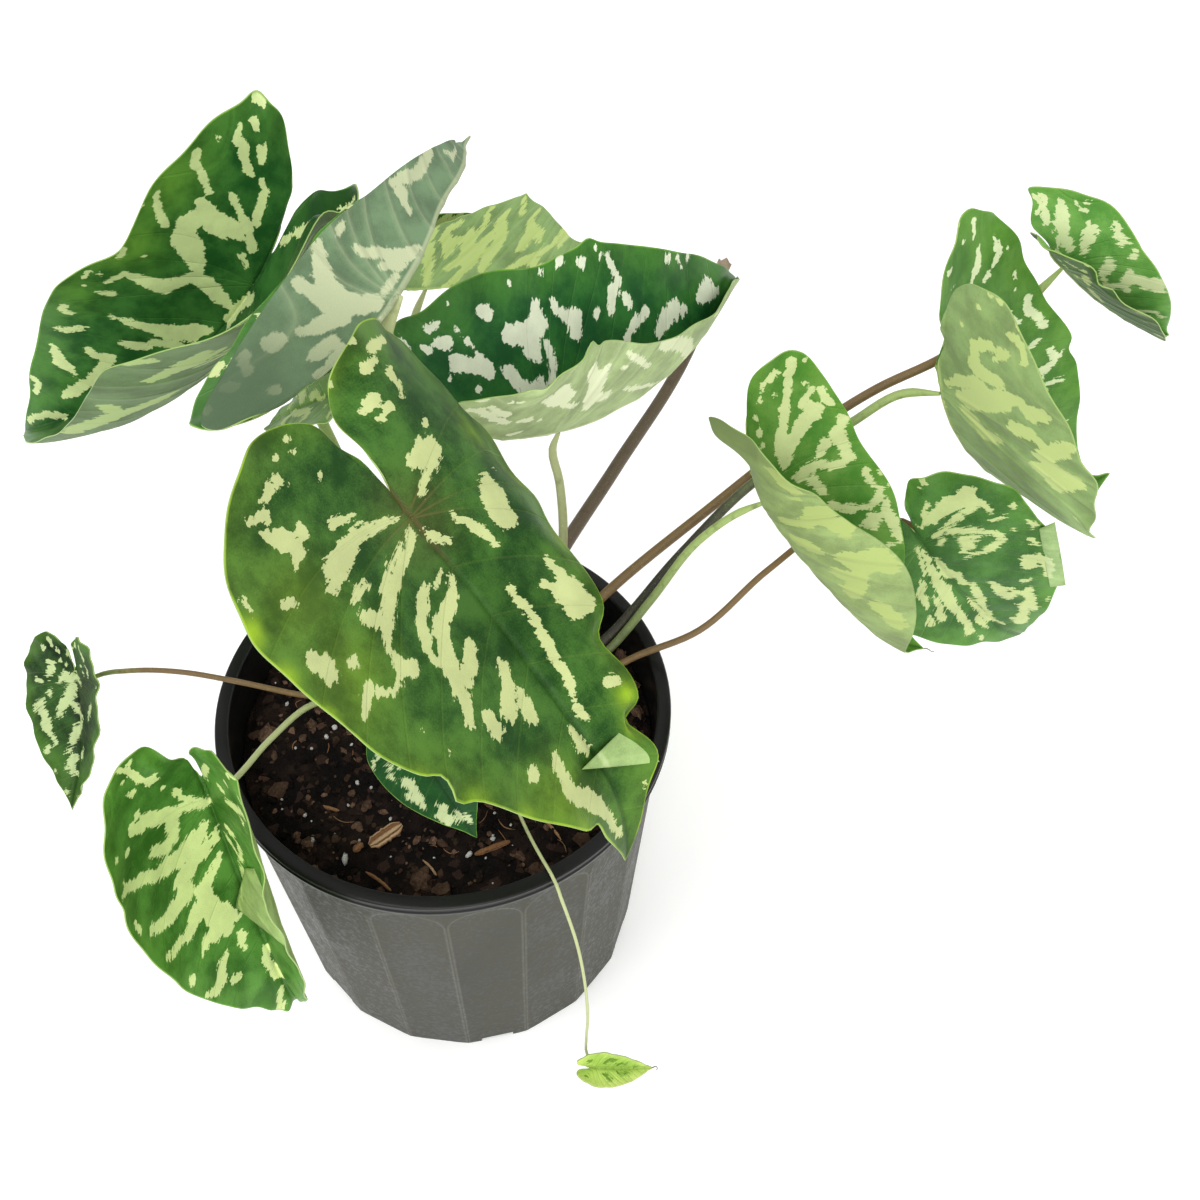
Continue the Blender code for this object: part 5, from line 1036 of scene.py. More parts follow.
        [(41, -72, 1.5), (44, -64, 1.8), (46, -53, 1.5), (48, -41, 1.8), (42, -16, 1.5)], [(32, -25, 1.8),
         (24, -11, 1.7), (17, 3, 0.6)], [(60, -57, 0.8), (49, -33, 0.9)], [(61, -21, 1)], [(52, 2, 1.5),
         (37, 19, 2), (28, 22, 1.7), (27, 46, 1.4)], [(55, 9, 1.2), (61, 14, 1), (56, 34, 1),
         (39, 57, 0.6)], [(8, 33, 0.6)], [(-4, 62, 0.4), (-7, 85, 0.4)], [(21, 85, 0.4), (13, 93, 0.4)]],
    "hanging": [
        [(8, 30, 0.3), (14, 55, 0.9), (24, 60, 0.7)], [(30, 30, 0.4), (44, 34, 0.8)], [(-20, 50, 0.6)],
        [(10, -35, 0.4), (16, -60, 0.8)], [(38, -30, 0.7), (50, -25, 0.4)], [(66, 10, 0.6)],
        [(-24, -50, 0.5)]]}


def catmull_rom(points, share):
    """Point at a share (0 to 1) of the way through a list of vectors."""
    spans = len(points) - 1
    place = min(share * spans, spans - 1e-9)
    first = int(place)
    t = place - first
    p1, p2 = points[first], points[first + 1]
    p0 = points[first - 1] if first > 0 else 2.0 * p1 - p2
    p3 = points[first + 2] if first + 2 <= spans else 2.0 * p2 - p1
    cubic = -p0 + 3.0 * p1 - 3.0 * p2 + p3
    square = 2.0 * p0 - 5.0 * p1 + 4.0 * p2 - p3
    return 0.5 * (2.0 * p1 + (p2 - p0) * t + square * t ** 2 + cubic * t ** 3)


def outline_stations(leaf, side):
    """The outline's points for one side of the midrib, in blade lengths and half widths."""
    full = leaf["full_l"] if side > 0 else leaf["full_r"]
    stations = []
    for along, off in HALF_OUTLINE:
        ahead = min(max(along, 0.0), 1.0)
        widened = off * (1.0 + full * 4.0 * ahead * (1.0 - ahead))
        stations.append(Vector((along if along >= 0.0 else along * leaf["lobe"], widened)))
    return stations


def blade_axes(leaf):
    """Rotation that aims the blade: roll, then pitch (positive raises the tip), then heading."""
    roll = Matrix.Rotation(math.radians(leaf["roll"]), 3, "X")
    pitch = Matrix.Rotation(math.radians(-leaf["pitch"]), 3, "Y")
    heading = Matrix.Rotation(math.radians(leaf["heading"]), 3, "Z")
    return heading @ pitch @ roll


def arc(angle, rate, length):
    """Run and rise along an arc that starts at an angle and turns at a rate (radians a metre)."""
    if abs(rate) < 1e-6:
        return length * math.cos(angle), length * math.sin(angle)
    run = (math.sin(angle + rate * length) - math.sin(angle)) / rate
    rise = (math.cos(angle) - math.cos(angle + rate * length)) / rate
    return run, rise


def blade_point(leaf, along, off):
    """Where a point of the flat blade lies once the blade is folded, curled, bent and aimed."""
    length, half_width = leaf["length"] * MM, leaf["half_width"] * MM
    side = 1.0 if off >= 0.0 else -1.0
    if along < 0.0:
        along *= 1.0 + side * leaf["lobe_skew"]
    fold = leaf["fold_l"] if side > 0 else leaf["fold_r"]
    curl = leaf["curl_l"] if side > 0 else leaf["curl_r"]
    fold += leaf["close"] * along if along > 0 else -leaf["gape"] * along / leaf["lobe"]
    from_rib = abs(off) * half_width * (1.0 + side * leaf["lopsided"])
    across, lift = arc(math.radians(fold), math.radians(curl) / half_width, from_rib)
    across *= side
    twist = math.radians(leaf["twist"]) * along
    across, lift = (across * math.cos(twist) - lift * math.sin(twist),
                    across * math.sin(twist) + lift * math.cos(twist))
    bend = math.radians(leaf["bend"] if along > 0 else leaf["lobe_bend"]) / length
    distance = along * length
    ahead, drop = arc(0.0, bend, distance)
    turn = bend * distance
    hook = leaf["tip_up"] * length * min(max((along - 0.7) / 0.3, 0.0), 1.0) ** 2
    sway = math.radians(leaf["sway"]) / length if along > 0 else 0.0
    sideways_run, sideways = arc(0.0, sway, distance)
    swing = sway * distance
    stretch = ahead / distance if abs(distance) > 1e-9 else 1.0
    x = sideways_run * stretch - across * math.sin(swing) + lift * math.sin(turn) * math.cos(swing)
    y = sideways + across * math.cos(swing)
    z = hook - drop + lift * math.cos(turn)
    return Vector(leaf["junction"]) * MM + leaf["axes"] @ Vector((x, y, z))


def blade_normal(leaf, along, off):
    """Direction the upper face looks in at a point of the flat blade."""
    here = blade_point(leaf, along, off)
    ahead = blade_point(leaf, along + 0.01, off) - here
    leftwards = blade_point(leaf, along, off + 0.01) - here
    return ahead.cross(leftwards).normalized()


def flat_place(leaf, along, off):
    """Where hundredths along and off a blade lie on it while it is flat, in millimetres."""
    return 0.01 * along * leaf["length"], 0.01 * off * leaf["half_width"]


def vein_place(leaf, x, y):
    """Which side vein a flat point (millimetres) lies by: whole numbers are veins, 0 the junction."""
    y = np.abs(y)
    origin = x - VEIN_LEAN * y - VEIN_CURVE * y ** 2 / leaf["half_width"]
    from_junction = np.hypot(x, y) + 1.0
    return np.where(origin > 0.0, origin / leaf["length"] * VEINS,
                    LOBE_VEINS * origin / from_junction)


def vein_spacing(leaf, x, y):
    """How far apart the side veins are at each flat point, in millimetres."""
    step = 0.5
    slope = np.hypot(vein_place(leaf, x + step, y) - vein_place(leaf, x - step, y),
                     vein_place(leaf, x, np.abs(y) + step) - vein_place(leaf, x, np.abs(y) - step))
    return np.minimum(2.0 * step / np.maximum(slope, 1e-4), WIDEST_VEINS)


def covered_splashes(leaf):
    """Random splashes, running out with the side veins, for a blade's overlapped areas."""
    chance = random.Random(leaf["name"])
    for first, last, near, far in leaf["covered"]:
        for along in range(first, last, COVERED_STEPS[0]):
            for off in range(near, far, COVERED_STEPS[1]):
                if chance.random() < COVERED_GAPS:
                    continue
                place, out = along + chance.uniform(-7.0, 7.0), off + chance.uniform(-9.0, 9.0)
                run = chance.uniform(2.0, 26.0) * (1.0 if off > 0 else -1.0)
                bow = chance.uniform(-3.0, 5.0)
                wide = leaf["length"] * chance.uniform(0.005, 0.021)
                yield [(place, out, wide), (place + 0.1 * abs(run) + bow, out + 0.5 * run, 0.9 * wide),
                       (place + 0.4 * abs(run), out + run, 0.3 * wide)]


def splash_depth(leaf, x, y):
    """How far inside a splash each flat point is (millimetres, negative outside)."""
    depth = np.full(len(x), NO_SPLASH)
    for chain in SPLASHES[leaf["name"]] + list(covered_splashes(leaf)):
        spots = [(*flat_place(leaf, along, off), wide) for along, off, wide in chain]
        if len(spots) == 1:
            spots = spots * 2
        for (x0, y0, w0), (x1, y1, w1) in zip(spots, spots[1:]):
            dx, dy = x1 - x0, y1 - y0
            share = np.clip(((x - x0) * dx + (y - y0) * dy) / (dx * dx + dy * dy + 1e-9), 0.0, 1.0)
            gap = np.hypot(x - x0 - dx * share, y - y0 - dy * share)
            depth = np.maximum(depth, leaf["spread"] + w0 + (w1 - w0) * share - gap)
    return depth


def yellowing_and_painted_shade(leaf, x, y):
    """How far each flat point is yellowed, or where negative darkened by painted shade."""
    yellow_or_shade = np.zeros(len(x))
    for along, off, spot_reach, strength in leaf["yellowing_and_shade"]:
        spot_x, spot_y = flat_place(leaf, along, off)
        spot = strength * np.exp(-(np.hypot(x - spot_x, y - spot_y) / spot_reach) ** 2)
        yellow_or_shade = np.where(np.abs(spot) > np.abs(yellow_or_shade), spot, yellow_or_shade)
    return yellow_or_shade


def blade_blank(leaf):
    """The flat blade: a grid fanned about the petiole's end, that keeps each point's share of the
    way round its half of the outline and out to the margin."""
    bm = bmesh.new()
    bmesh.ops.create_grid(bm, x_segments=2 * leaf["columns"], y_segments=leaf["rings"], size=0.5)
    round_layer = bm.verts.layers.float.new("round")
    out_layer = bm.verts.layers.float.new("out")
    stations = {side: outline_stations(leaf, side) for side in (1.0, -1.0)}
    for vert in bm.verts:
        round_share = (vert.co.x + 0.5) * 2.0
        out_share = 1.0 - (0.5 - vert.co.y) ** RING_BUNCHING
        side = 1.0 if round_share <= 1.0 else -1.0
        share = round_share if side > 0 else 2.0 - round_share
        edge = catmull_rom(stations[side], share)
        vert[round_layer] = share * side
        vert[out_layer] = out_share
        vert.co = (edge.x * out_share, edge.y * side * out_share, 0.0)
    bmesh.ops.remove_doubles(bm, verts=bm.verts[:], dist=1e-4)
    bm.faces.ensure_lookup_table()
    if bm.faces[0].normal.z < 0.0:
        bmesh.ops.reverse_faces(bm, faces=bm.faces[:])
    return bm, round_layer, out_layer


def turned_margins(leaf, bm, out_layer):
    """Add the margins that are folded back over the face. Returns where each of their points lies."""
    turned_places = {}
    for corners, lifts, bulge in leaf["turned"]:
        above = blade_normal(leaf, 0.01 * corners[0][0], 0.01 * corners[0][1])
        ends = [blade_point(leaf, 0.01 * along, 0.01 * off) + above * lift * MM
                for (along, off), lift in zip(corners, lifts)]
        for vert in bmesh.ops.create_grid(bm, x_segments=18, y_segments=12, size=0.5)["verts"]:
            u, v = vert.co.x + 0.5, vert.co.y + 0.5
            shares = ((1.0 - u) * (1.0 - v), u * (1.0 - v), u * v, (1.0 - u) * v)
            raised = above * bulge * MM * 16.0 * u * (1.0 - u) * v * (1.0 - v)
            turned_places[vert] = sum((end * part for end, part in zip(ends, shares)), raised)
            vert.co = (0.01 * sum(corner[0] * part for corner, part in zip(corners, shares)),
                       0.01 * sum(corner[1] * part for corner, part in zip(corners, shares)), 0.0)
            vert[out_layer] = TURNED_OUT
    return turned_places


def make_blade(leaf, materials):
    """One blade: folded, veined, rippled and given its skin."""
    bm, round_layer, out_layer = blade_blank(leaf)
    turned_places = turned_margins(leaf, bm, out_layer)
    flat = np.array([(vert.co.x, vert.co.y, vert[out_layer]) for vert in bm.verts])
    x, y = flat[:, 0] * leaf["length"], flat[:, 1] * leaf["half_width"]
    veins = vein_place(leaf, x, y)
    spacing = vein_spacing(leaf, x, y)
    for vert in bm.verts:
        vert.co = turned_places.get(vert) or blade_point(leaf, vert.co.x, vert.co.y)
    bm.normal_update()
    phase = leaf["heading"] * 0.7
    moves = []
    for number, vert in enumerate(bm.verts):
        if vert in turned_places:
            moves.append(Vector())
            continue
        out, share = flat[number, 2], vert[round_layer]
        inside = min(1.0, 3.0 * (1.0 - out)) * min(1.0, out * 4.0)
        cushion = abs(math.sin(math.pi * veins[number])) - 0.6
        cushion *= leaf["quilt"] * inside * min(1.0, spacing[number] / FULL_CUSHION)
        channel = -GROOVE[0] * math.exp(-(y[number] / GROOVE[1]) ** 2)
        channel *= min(1.0, 4.0 * (1.0 - flat[number, 0]))
        wave = math.sin(WAVES[0] * share + phase) + 0.6 * math.sin(WAVES[1] * share + 2.0 * phase)
        wave *= leaf["ripple"] * out ** 5 * min(1.0, 6.0 * (1.0 - flat[number, 0]))
        swell = SWELL * noise.noise(Vector((x[number] / SWELL_SIZE, y[number] / SWELL_SIZE, phase)))
        move = vert.normal * (cushion + channel + wave + swell)
        for along, off, pull_reach, pull in leaf["nudges"]:
            pull_x, pull_y = flat_place(leaf, along, off)
            gap = math.hypot(x[number] - pull_x, y[number] - pull_y)
            move += Vector(pull) * math.exp(-(gap / pull_reach) ** 2)
        moves.append(move * MM)
    for vert, move in zip(bm.verts, moves):
        vert.co += move
    blade = object_from(bm, "leaf_" + leaf["name"], materials)
    reach = np.hypot(y, np.minimum(x - VEIN_LEAN * np.abs(y), 0.0))
    for title, columns in (("flat", (x * MM, y * MM, reach * MM)),
                           ("veins", (veins, spacing, np.abs(y))),
                           ("marks", (splash_depth(leaf, x, y), flat[:, 2], yellowing_and_painted_shade(leaf, x, y)))):
        values = np.stack(columns, axis=1).astype(np.float32)
        layer = blade.data.attributes.new(title, "FLOAT_VECTOR", "POINT")
        layer.data.foreach_set("vector", values.ravel())
    skin = blade.modifiers.new("skin", "SOLIDIFY")
    skin.thickness = BLADE_SKIN
    skin.offset = -1.0
    skin.material_offset = 1
    skin.material_offset_rim = 2
    settle(blade)
    blade.data.shade_smooth()
    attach(blade, "root")
    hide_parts("blade_" + leaf["name"])


def new_group(name, inputs, outputs):
    """An empty shader node group with its sockets."""
    group = bpy.data.node_groups.new(name, "ShaderNodeTree")
    for title, kind, value in inputs:
        socket = group.interface.new_socket(title, in_out="INPUT", socket_type="NodeSocket" + kind)
        if value is not None:
            socket.default_value = value
    for title in outputs:
        group.interface.new_socket(title, in_out="OUTPUT", socket_type="NodeSocketFloat")
    return group, group.nodes.new("NodeGroupInput").outputs, group.nodes.new("NodeGroupOutput").inputs


# What every blade's colour is mixed by: ragged splashes, side veins, midrib, margin and mottling.
leaf_marks, given, result = new_group(
    "leaf_marks",
    [("Flat", "Vector", None), ("Veins", "Vector", None), ("Marks", "Vector", None),
     ("Ragged", "Float", 1.0), ("Soft", "Float", 1.0)],
    ["Splash", "Vein", "Furrow", "Midrib", "Margin", "Mottle", "Cells", "Centre"])
marks = node(leaf_marks, "ShaderNodeSeparateXYZ", Vector=given["Marks"])
veins = node(leaf_marks, "ShaderNodeSeparateXYZ", Vector=given["Veins"])
flat = node(leaf_marks, "ShaderNodeSeparateXYZ", Vector=given["Flat"])
flat_only = node(leaf_marks, "ShaderNodeCombineXYZ", X=flat.outputs["X"], Y=flat.outputs["Y"])
grain = node(leaf_marks, "ShaderNodeCombineXYZ",
             X=maths(leaf_marks, "MULTIPLY", veins.outputs["X"], 9.0),
             Y=maths(leaf_marks, "MULTIPLY", flat.outputs["Z"], 110.0))
streaky = cloud(leaf_marks, grain.outputs[0], 1.0, detail=4.0, roughness=0.65)
blotchy = cloud(leaf_marks, flat_only.outputs[0], 170.0, detail=4.0, roughness=0.7)
crumbs = cloud(leaf_marks, flat_only.outputs[0], 650.0, detail=2.0)
raggedness = 0.0
for noise_field, strength in ((streaky, 7.0), (blotchy, 5.2), (crumbs, 2.6)):
    raggedness = uneven(leaf_marks, raggedness, noise_field, strength)
depth = maths(leaf_marks, "ADD", marks.outputs["X"],
              maths(leaf_marks, "MULTIPLY", raggedness, given["Ragged"]))
depth = maths(leaf_marks, "DIVIDE", depth, given["Soft"])
vein_gap = maths(leaf_marks, "MULTIPLY", maths(leaf_marks, "PINGPONG", veins.outputs["X"], 0.5),
                 veins.outputs["Y"])
from_centre = maths(leaf_marks, "SQRT", maths(leaf_marks, "ADD", maths(leaf_marks, "POWER",
                    flat.outputs["X"], 2.0), maths(leaf_marks, "POWER", flat.outputs["Y"], 2.0)))
for title, value in (
        ("Splash", eased(leaf_marks, depth, -0.16, 0.16)),
        ("Vein", eased(leaf_marks, vein_gap, 0.70, 0.1)),
        ("Furrow", eased(leaf_marks, vein_gap, 3.2, 0.0)),
        ("Midrib", eased(leaf_marks, veins.outputs["Z"], 1.8, 0.4)),
        ("Margin", eased(leaf_marks, marks.outputs["Y"], 0.990, 0.996)),
        ("Mottle", cloud(leaf_marks, flat_only.outputs[0], 42.0, detail=8.0, roughness=0.62)),
        ("Centre", eased(leaf_marks, from_centre, 0.030, 0.002)),
        ("Cells", cloud(leaf_marks, flat_only.outputs[0], 1500.0, detail=2.0))):
    leaf_marks.links.new(value, result[title])


def dimmed(colour, share):
    """A colour made darker, or where the share is over one lighter."""
    return tuple(min(1.0, channel * share) for channel in colour)


def leaf_reads(tree, leaf, soft):
    """A blade's marks group fed from its own attributes, its outward share, and its yellowing and painted
    shade.
    """
    reads = {title: node(tree, "ShaderNodeAttribute", {"attribute_name": title}) for title in
             ("flat", "veins", "marks")}
    group = node(tree, "ShaderNodeGroup", {"node_tree": leaf_marks})
    for title in reads:
        tree.links.new(reads[title].outputs["Vector"], group.inputs[title.capitalize()])
    group.inputs["Ragged"].default_value = leaf["ragged"]
    group.inputs["Soft"].default_value = soft
    plain = node(tree, "ShaderNodeSeparateXYZ", Vector=reads["marks"].outputs["Vector"]).outputs
    return group.outputs, plain[1], plain[2]


def face_material(leaf):
    """The upper face: satin green, fresher towards the margin, with crisp pale splashes."""
    material, tree, shader = new_material("leaf_face_" + leaf["name"], roughness=0.36, specular=0.12)
    marks, out_share, yellow_or_shade = leaf_reads(tree, leaf, 1.0)
    wash = uneven(tree, marks["Mottle"], marks["Cells"], 0.22)
    green = blended(tree, eased(tree, wash, 0.36, 0.66), leaf["deep"], leaf["fresh"])
    near_edge = eased(tree, uneven(tree, out_share, marks["Mottle"], 0.5), 0.70, 1.05)
    near_edge = maths(tree, "MULTIPLY", near_edge, leaf["glow"])
    yellow = maths(tree, "MULTIPLY", maths(tree, "MAXIMUM", yellow_or_shade, 0.0),
                   eased(tree, marks["Mottle"], 0.30, 0.60, 0.6, 1.1))
    green = blended(tree, maths(tree, "ADD", near_edge, yellow, clamp=True), green, leaf["margin"])
    green = blended(tree, maths(tree, "MULTIPLY", marks["Vein"], 0.05), green, leaf["margin"])
    # Painted shade: darker where the blade's yellowing value is negative, and along the midrib.
    shaded = maths(tree, "MAXIMUM", maths(tree, "MULTIPLY", yellow_or_shade, -1.0), 0.0)
    shaded = maths(tree, "MAXIMUM", shaded, maths(tree, "MULTIPLY", marks["Midrib"], 0.35))
    green = blended(tree, shaded, green, dimmed(leaf["deep"], 0.55))
    browned = maths(tree, "MULTIPLY", marks["Centre"], maths(tree, "ADD", 0.4, maths(tree, "MULTIPLY",
                    maths(tree, "MAXIMUM", marks["Vein"], marks["Midrib"]), 0.6)))
    green = blended(tree, maths(tree, "MULTIPLY", browned, leaf["brown"]), green, (0.115, 0.085, 0.030))
    pale = blended(tree, eased(tree, marks["Mottle"], 0.35, 0.65), dimmed(leaf["splash"], 0.84),
                   leaf["splash"])
    pale = blended(tree, eased(tree, marks["Cells"], 0.56, 0.80, 0.0, 0.30), pale, leaf["margin"])
    colour = blended(tree, maths(tree, "MULTIPLY", marks["Splash"], 0.97), green, pale)
    colour = blended(tree, maths(tree, "MULTIPLY", marks["Margin"], eased(
                     tree, marks["Mottle"], 0.35, 0.6, 0.2, 0.8)), colour, leaf["margin"])
    tree.links.new(colour, shader.inputs["Base Color"])
    tree.links.new(maths(tree, "ADD", maths(tree, "MULTIPLY", marks["Cells"], 0.14), 0.32),
                   shader.inputs["Roughness"])
    height = maths(tree, "ADD", marks["Cells"], maths(tree, "MULTIPLY", marks["Vein"], -1.5))
    bumped(tree, shader, height, 0.00012)
    return material


def back_material(leaf):
    """The underside: matt grey-green with raised veins; the splashes show through softly."""
    material, tree, shader = new_material("leaf_back_" + leaf["name"], roughness=0.6, specular=0.15)
    marks, _, yellow_or_shade = leaf_reads(tree, leaf, leaf["soft"])
    wash = uneven(tree, marks["Mottle"], marks["Cells"], 0.2)
    colour = blended(tree, eased(tree, wash, 0.34, 0.66), dimmed(leaf["back"], 0.62), leaf["back"])
    for title, strength in (("Furrow", leaf["furrow"]), ("Splash", 0.88), ("Vein", 0.10), ("Midrib", 0.55)):
        colour = blended(tree, maths(tree, "MULTIPLY", marks[title], strength), colour, leaf["back_splash"])
    # Painted shade: darker where the blade's yellowing value is negative.
    colour = blended(tree, maths(tree, "MULTIPLY", yellow_or_shade, -1.0, clamp=True), colour,
                     dimmed(leaf["back"], 0.45))
    tree.links.new(colour, shader.inputs["Base Color"])
    height = maths(tree, "ADD", maths(tree, "MULTIPLY", marks["Cells"], 0.5),
                   maths(tree, "MULTIPLY", marks["Furrow"], 2.0))
    bumped(tree, shader, height, 0.0003)
    return material


margin_line, _, shader = new_material("leaf_margin", roughness=0.45)
shader.inputs["Base Color"].default_value = (0.270, 0.400, 0.100, 1.0)

for number, chosen in enumerate(LEAVES):
    leaf = {**BLADE_DEFAULTS, **chosen}
    leaf["axes"] = blade_axes(leaf)
    LEAVES[number] = leaf
    make_blade(leaf, [face_material(leaf), back_material(leaf), margin_line])

# ---------------------------------------------------------------------------------------------
# Petioles: smooth round stalks that rise from the crown and narrow to a neck under each blade.
# Their skins run from nearly black and brown to pale green, and most are lighter near the blade.
STALK_TAPER = 0.2
STALK_STEP = 0.004
STALK_SIDES = 20
NECK_LENGTH = 0.012
NECK_RADIUS = 0.9
PACKED_BLADE = 1.0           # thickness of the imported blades, millimetres
GAP = 0.3                    # between neighbouring pieces, millimetres
END_RISE = 0.5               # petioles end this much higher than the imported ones, under thinner blades
FOOT_RISES = (0.0, 1.5, 4.0)                 # heights that a petiole's foot climbs straight through
BROWN, DARK, GREEN, PALE, OLIVE = (
    (0.165, 0.105, 0.044), (0.034, 0.031, 0.021), (0.300, 0.400, 0.130), (0.430, 0.470, 0.230),
    (0.150, 0.150, 0.065))
# Each petiole's foot radius (mm), foot on the mix (mm), route (mm), the colours of its foot and head,
# and the shares of its length between which they change.
STALKS = {
    "front": (4.0, (13, -6), [(5, -5, 205), (-8, -9, 257), (-14, -26, 316)], (OLIVE, GREEN)),
    "left": (3.2, (7, 11), [(-7, 48, 190), (-28, 108, 207), (-50, 172, 235)], (OLIVE, GREEN)),
    "centre_folded": (3.4, (14, 14), [(12, 23, 215), (5, 33, 280), (-3, 41, 338), (-3, 47, 357)],
                      (GREEN, PALE)),
    "back": (2.3, (21, 17), [(8, 62, 190), (-2, 128, 212), (6, 172, 237), (12, 181, 248)],
             (GREEN, PALE)),
    "centre": (2.4, (27, 12), [(51, 29, 186), (63, 53, 212), (65, 73, 233), (63, 78, 250)],
               (OLIVE, PALE, (0.30, 1.0))),
    "right_folded": (2.1, (43, 4), [(80, 18, 178), (99, 26, 198), (122, 33, 228), (139, 33, 243)],
                     (DARK, GREEN)),
    "right_low": (1.7, (43, -4), [(86, 9, 178), (118, 9, 193), (152, 24, 211), (182, 38, 217),
                                  (205, 39, 218), (220, 33, 219)], (BROWN, BROWN)),
    "right_far": (2.5, (41, 11), [(77, 22, 178), (116, 43, 207), (150, 56, 234), (195, 64, 257),
                                  (220, 68, 268)], (DARK, GREEN, (0.45, 1.0))),
    "right_top": (2.5, (37, 18), [(78, 42, 183), (133, 60, 217), (177, 75, 240), (214, 83, 258),
                                  (240, 84, 270), (288, 98, 292)], (BROWN, GREEN, (0.80, 0.95))),
    "small_left": (1.4, (4, 2), [(-65, 2, 198), (-86, 8, 203), (-111, 17, 204), (-134, 26, 198),
                                 (-150, 31, 191)], (BROWN, GREEN, (0.80, 1.0))),
    "low_left": (1.6, (6, -7), [(-57, 0, 190), (-75, -20, 197), (-92, -42, 201)], (GREEN, PALE)),
    "under_front": (1.4, (10, -14), [(2, -21, 171), (-8, -29, 182)], (GREEN, PALE)),
    "hanging": (0.8, (20, -15), [(26, -56, 166), (32, -86, 177.4), (34.3, -93.6, 178.7),
                                 (35.8, -99, 178.4), (37, -103, 174), (39, -105, 163), (42, -109, 145),
                                 (44.5, -114, 117), (45, -119, 83), (44, -120, 64), (44, -122.5, 54),
                                 (46, -127, 51.8)], (PALE, PALE)),
    "behind_front": (1.7, (10, 19), [(0, 55, 195), (-12, 95, 225), (-25, 122, 244)], (GREEN, PALE))}
CUT_STALK = (3.6, (29, 24), [(56, 62, 180), (97, 108, 199), (139, 155, 218), (168, 195, 245)],
             ((0.115, 0.085, 0.058), (0.300, 0.230, 0.165), (0.955, 0.985)))
CUT_END_RADIUS = 3.7


def smooth_route(points):
    """Points along a smooth curve through uneven points, about one every STALK_STEP."""
    chords = [(after - before).length for before, after in zip(points, points[1:])]
    slopes = [(points[1] - points[0]) / chords[0]]
    for number in range(1, len(points) - 1):
        before, after = chords[number - 1], chords[number]
        slope_in = (points[number] - points[number - 1]) / before
        slope_out = (points[number + 1] - points[number]) / after
        slopes.append((slope_in * after + slope_out * before) / (before + after))
    slopes.append((points[-1] - points[-2]) / chords[-1])
    smooth = [points[0]]
    for number, chord in enumerate(chords):
        start, end = points[number], points[number + 1]
        leave, arrive = slopes[number] * chord, slopes[number + 1] * chord
        pieces = max(1, round(chord / STALK_STEP))
        for piece in range(1, pieces + 1):
            t = piece / pieces
            smooth.append(start * (2 * t ** 3 - 3 * t ** 2 + 1) + leave * (t ** 3 - 2 * t ** 2 + t)
                          + end * (3 * t ** 2 - 2 * t ** 3) + arrive * (t ** 3 - t ** 2))
    return smooth


def make_stalk(name, stalk, end, end_radius, material, node_name):
    """A round stalk: a tube swept from the foot along the route."""
    foot_radius, foot, route, _ = stalk
    bottom = SOIL_LEVEL / MM + GAP
    upright = [(*foot, bottom + rise) for rise in FOOT_RISES]
    places = smooth_route([Vector(point) * MM for point in upright + route + end])
    reached = [0.0]
    for before, after in zip(places, places[1:]):
        reached.append(reached[-1] + (after - before).length)
    shares = [length / reached[-1] for length in reached]
    radii = []
    for length, share in zip(reached, shares):
        radius = foot_radius * (1.0 - STALK_TAPER * share)
        into_neck = max(0.0, 1.0 - (reached[-1] - length) / NECK_LENGTH)
        radii.append((radius + (end_radius - radius) * into_neck) * MM)
    bm = bmesh.new()
    up_layer = bm.verts.layers.float.new("up")
    rings = swept(bm, places, lambda number: radii[number], STALK_SIDES)
    for ring, share in zip(rings, shares):
        for vert in ring:
            vert[up_layer] = share
    if not end:
        ragged = (places[-1] - places[-2]).normalized()
        for number, vert in enumerate(rings[-1]):
            vert.co += ragged * MM * (0.9 * math.sin(2.3 * number) + 0.7 * math.sin(5.1 * number))
    bmesh.ops.recalc_face_normals(bm, faces=bm.faces[:])
    piece = piece_from(bm, name, [material], [node_name])
    piece.data.shade_smooth()
    piece.data.set_sharp_from_angle(angle=math.radians(50.0))


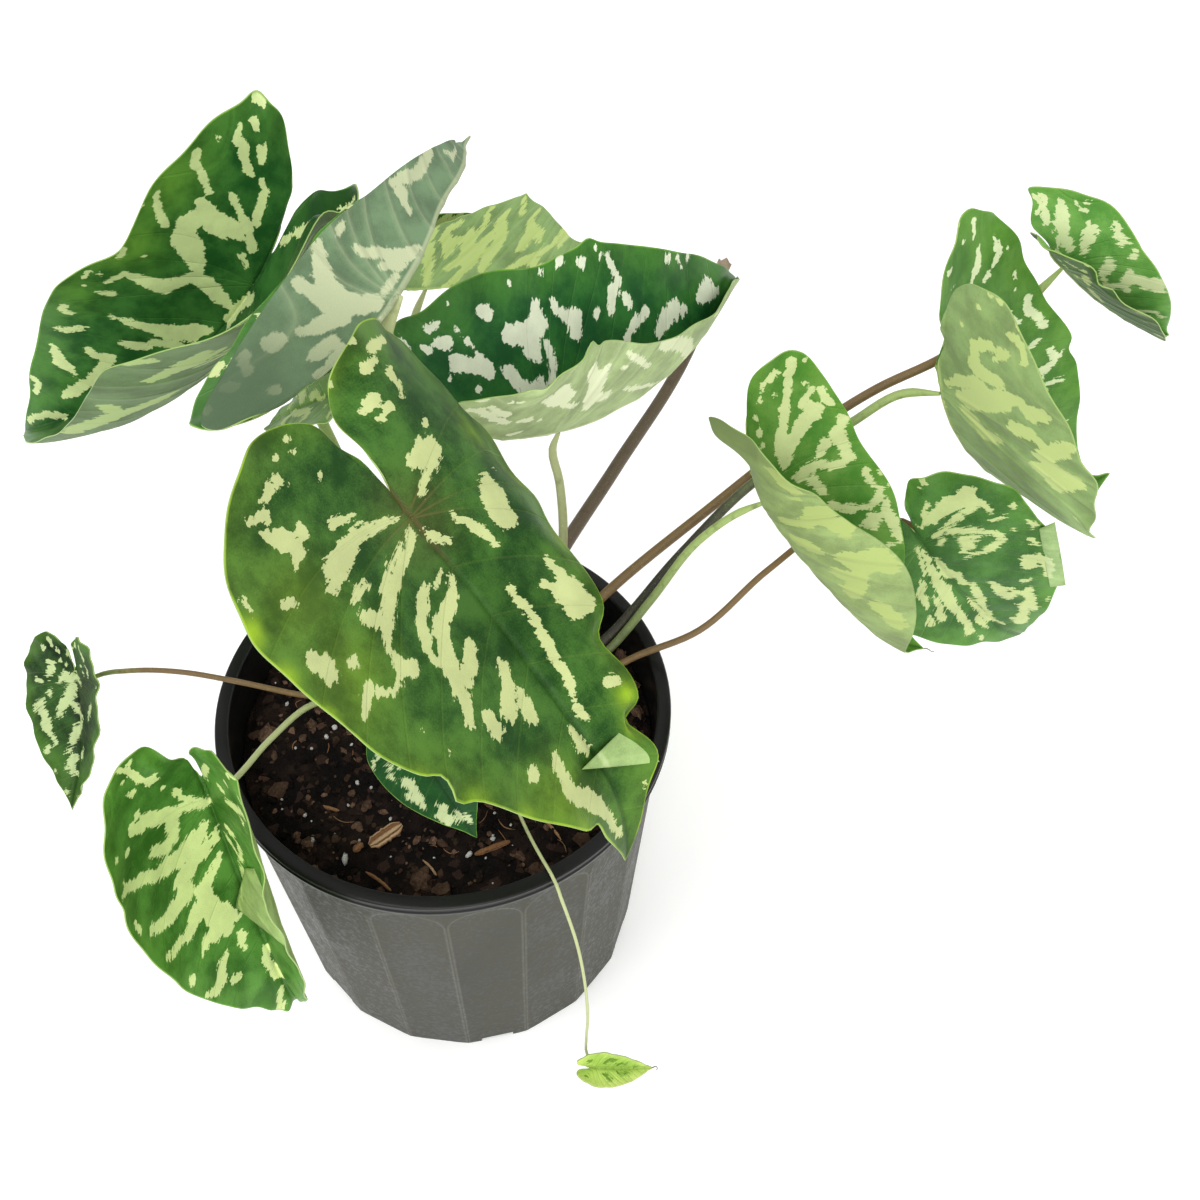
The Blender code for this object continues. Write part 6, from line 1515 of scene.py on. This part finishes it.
def stalk_material(name, foot_colour, head_colour, turns=(0.05, 0.85)):
    """Smooth skin with fine lengthwise streaks, changing colour from foot to blade."""
    material, tree, shader = new_material(name, roughness=0.42, specular=0.25)
    up = node(tree, "ShaderNodeAttribute", {"attribute_name": "up"}).outputs["Fac"]
    place = object_place(tree)
    mottle = cloud(tree, place, 190.0, detail=4.0)
    fine = cloud(tree, place, 1400.0, detail=2.0)
    colour = blended(tree, eased(tree, uneven(tree, up, mottle, 0.3), *turns), foot_colour, head_colour)
    colour = blended(tree, eased(tree, mottle, 0.5, 0.75, 0.0, 0.5), colour, dimmed(foot_colour, 0.6))
    colour = blended(tree, eased(tree, fine, 0.6, 0.8, 0.0, 0.35), colour, dimmed(head_colour, 1.5))
    tree.links.new(colour, shader.inputs["Base Color"])
    bumped(tree, shader, maths(tree, "ADD", fine, mottle), 0.00015)
    return material


for leaf in LEAVES:
    stalk = STALKS[leaf["name"]]
    under = leaf["axes"] @ Vector((0.0, 0.0, -1.0))
    arrival = (Vector(leaf["junction"]) - Vector(stalk[2][-1])).normalized()
    clearance = PACKED_BLADE + GAP + arrival.cross(under).length * NECK_RADIUS
    end = Vector(leaf["junction"]) + under * (clearance - END_RISE)
    make_stalk("stalk_" + leaf["name"], stalk, [tuple(end)], NECK_RADIUS,
               stalk_material("stalk_skin_" + leaf["name"], *stalk[3]), "petiole_" + leaf["name"])
make_stalk("stalk_cut", CUT_STALK, [], CUT_END_RADIUS,
           stalk_material("stalk_skin_cut", *CUT_STALK[3]), "cut_petiole")

# ---------------------------------------------------------------------------------------------
# Drip tips: the withered brown hairs that two blades end in.
DRIP_TIPS = {                # route from the blade's end, millimetres
    "right_folded": ((-0.5, 0.1, 0.1), (1.0, 0.0, 0.0), (2.2, -0.6, -0.4), (3.2, -1.6, -0.8),
                     (4.6, -1.9, -0.9)),
    "hanging": ((-0.4, 0.0, 0.0), (0.9, 0.3, 0.2), (1.9, 0.2, 0.3), (2.2, -0.8, 0.2), (1.5, -1.4, 0.1))}
DRIP_RADIUS = 0.28
withered = stalk_material("drip_tip", (0.080, 0.065, 0.030), (0.040, 0.030, 0.018))
bm = bmesh.new()
for leaf in LEAVES:
    if leaf["name"] in DRIP_TIPS:
        tip = blade_point(leaf, 1.0, 0.0)
        places = smooth_route([tip + Vector(step) * MM for step in DRIP_TIPS[leaf["name"]]])
        swept(bm, places, lambda number: DRIP_RADIUS * MM * (1.0 - 0.6 * number / len(places)), 8)
bmesh.ops.recalc_face_normals(bm, faces=bm.faces[:])
hairs = piece_from(bm, "drip_tips", [withered])
hairs.data.shade_smooth()
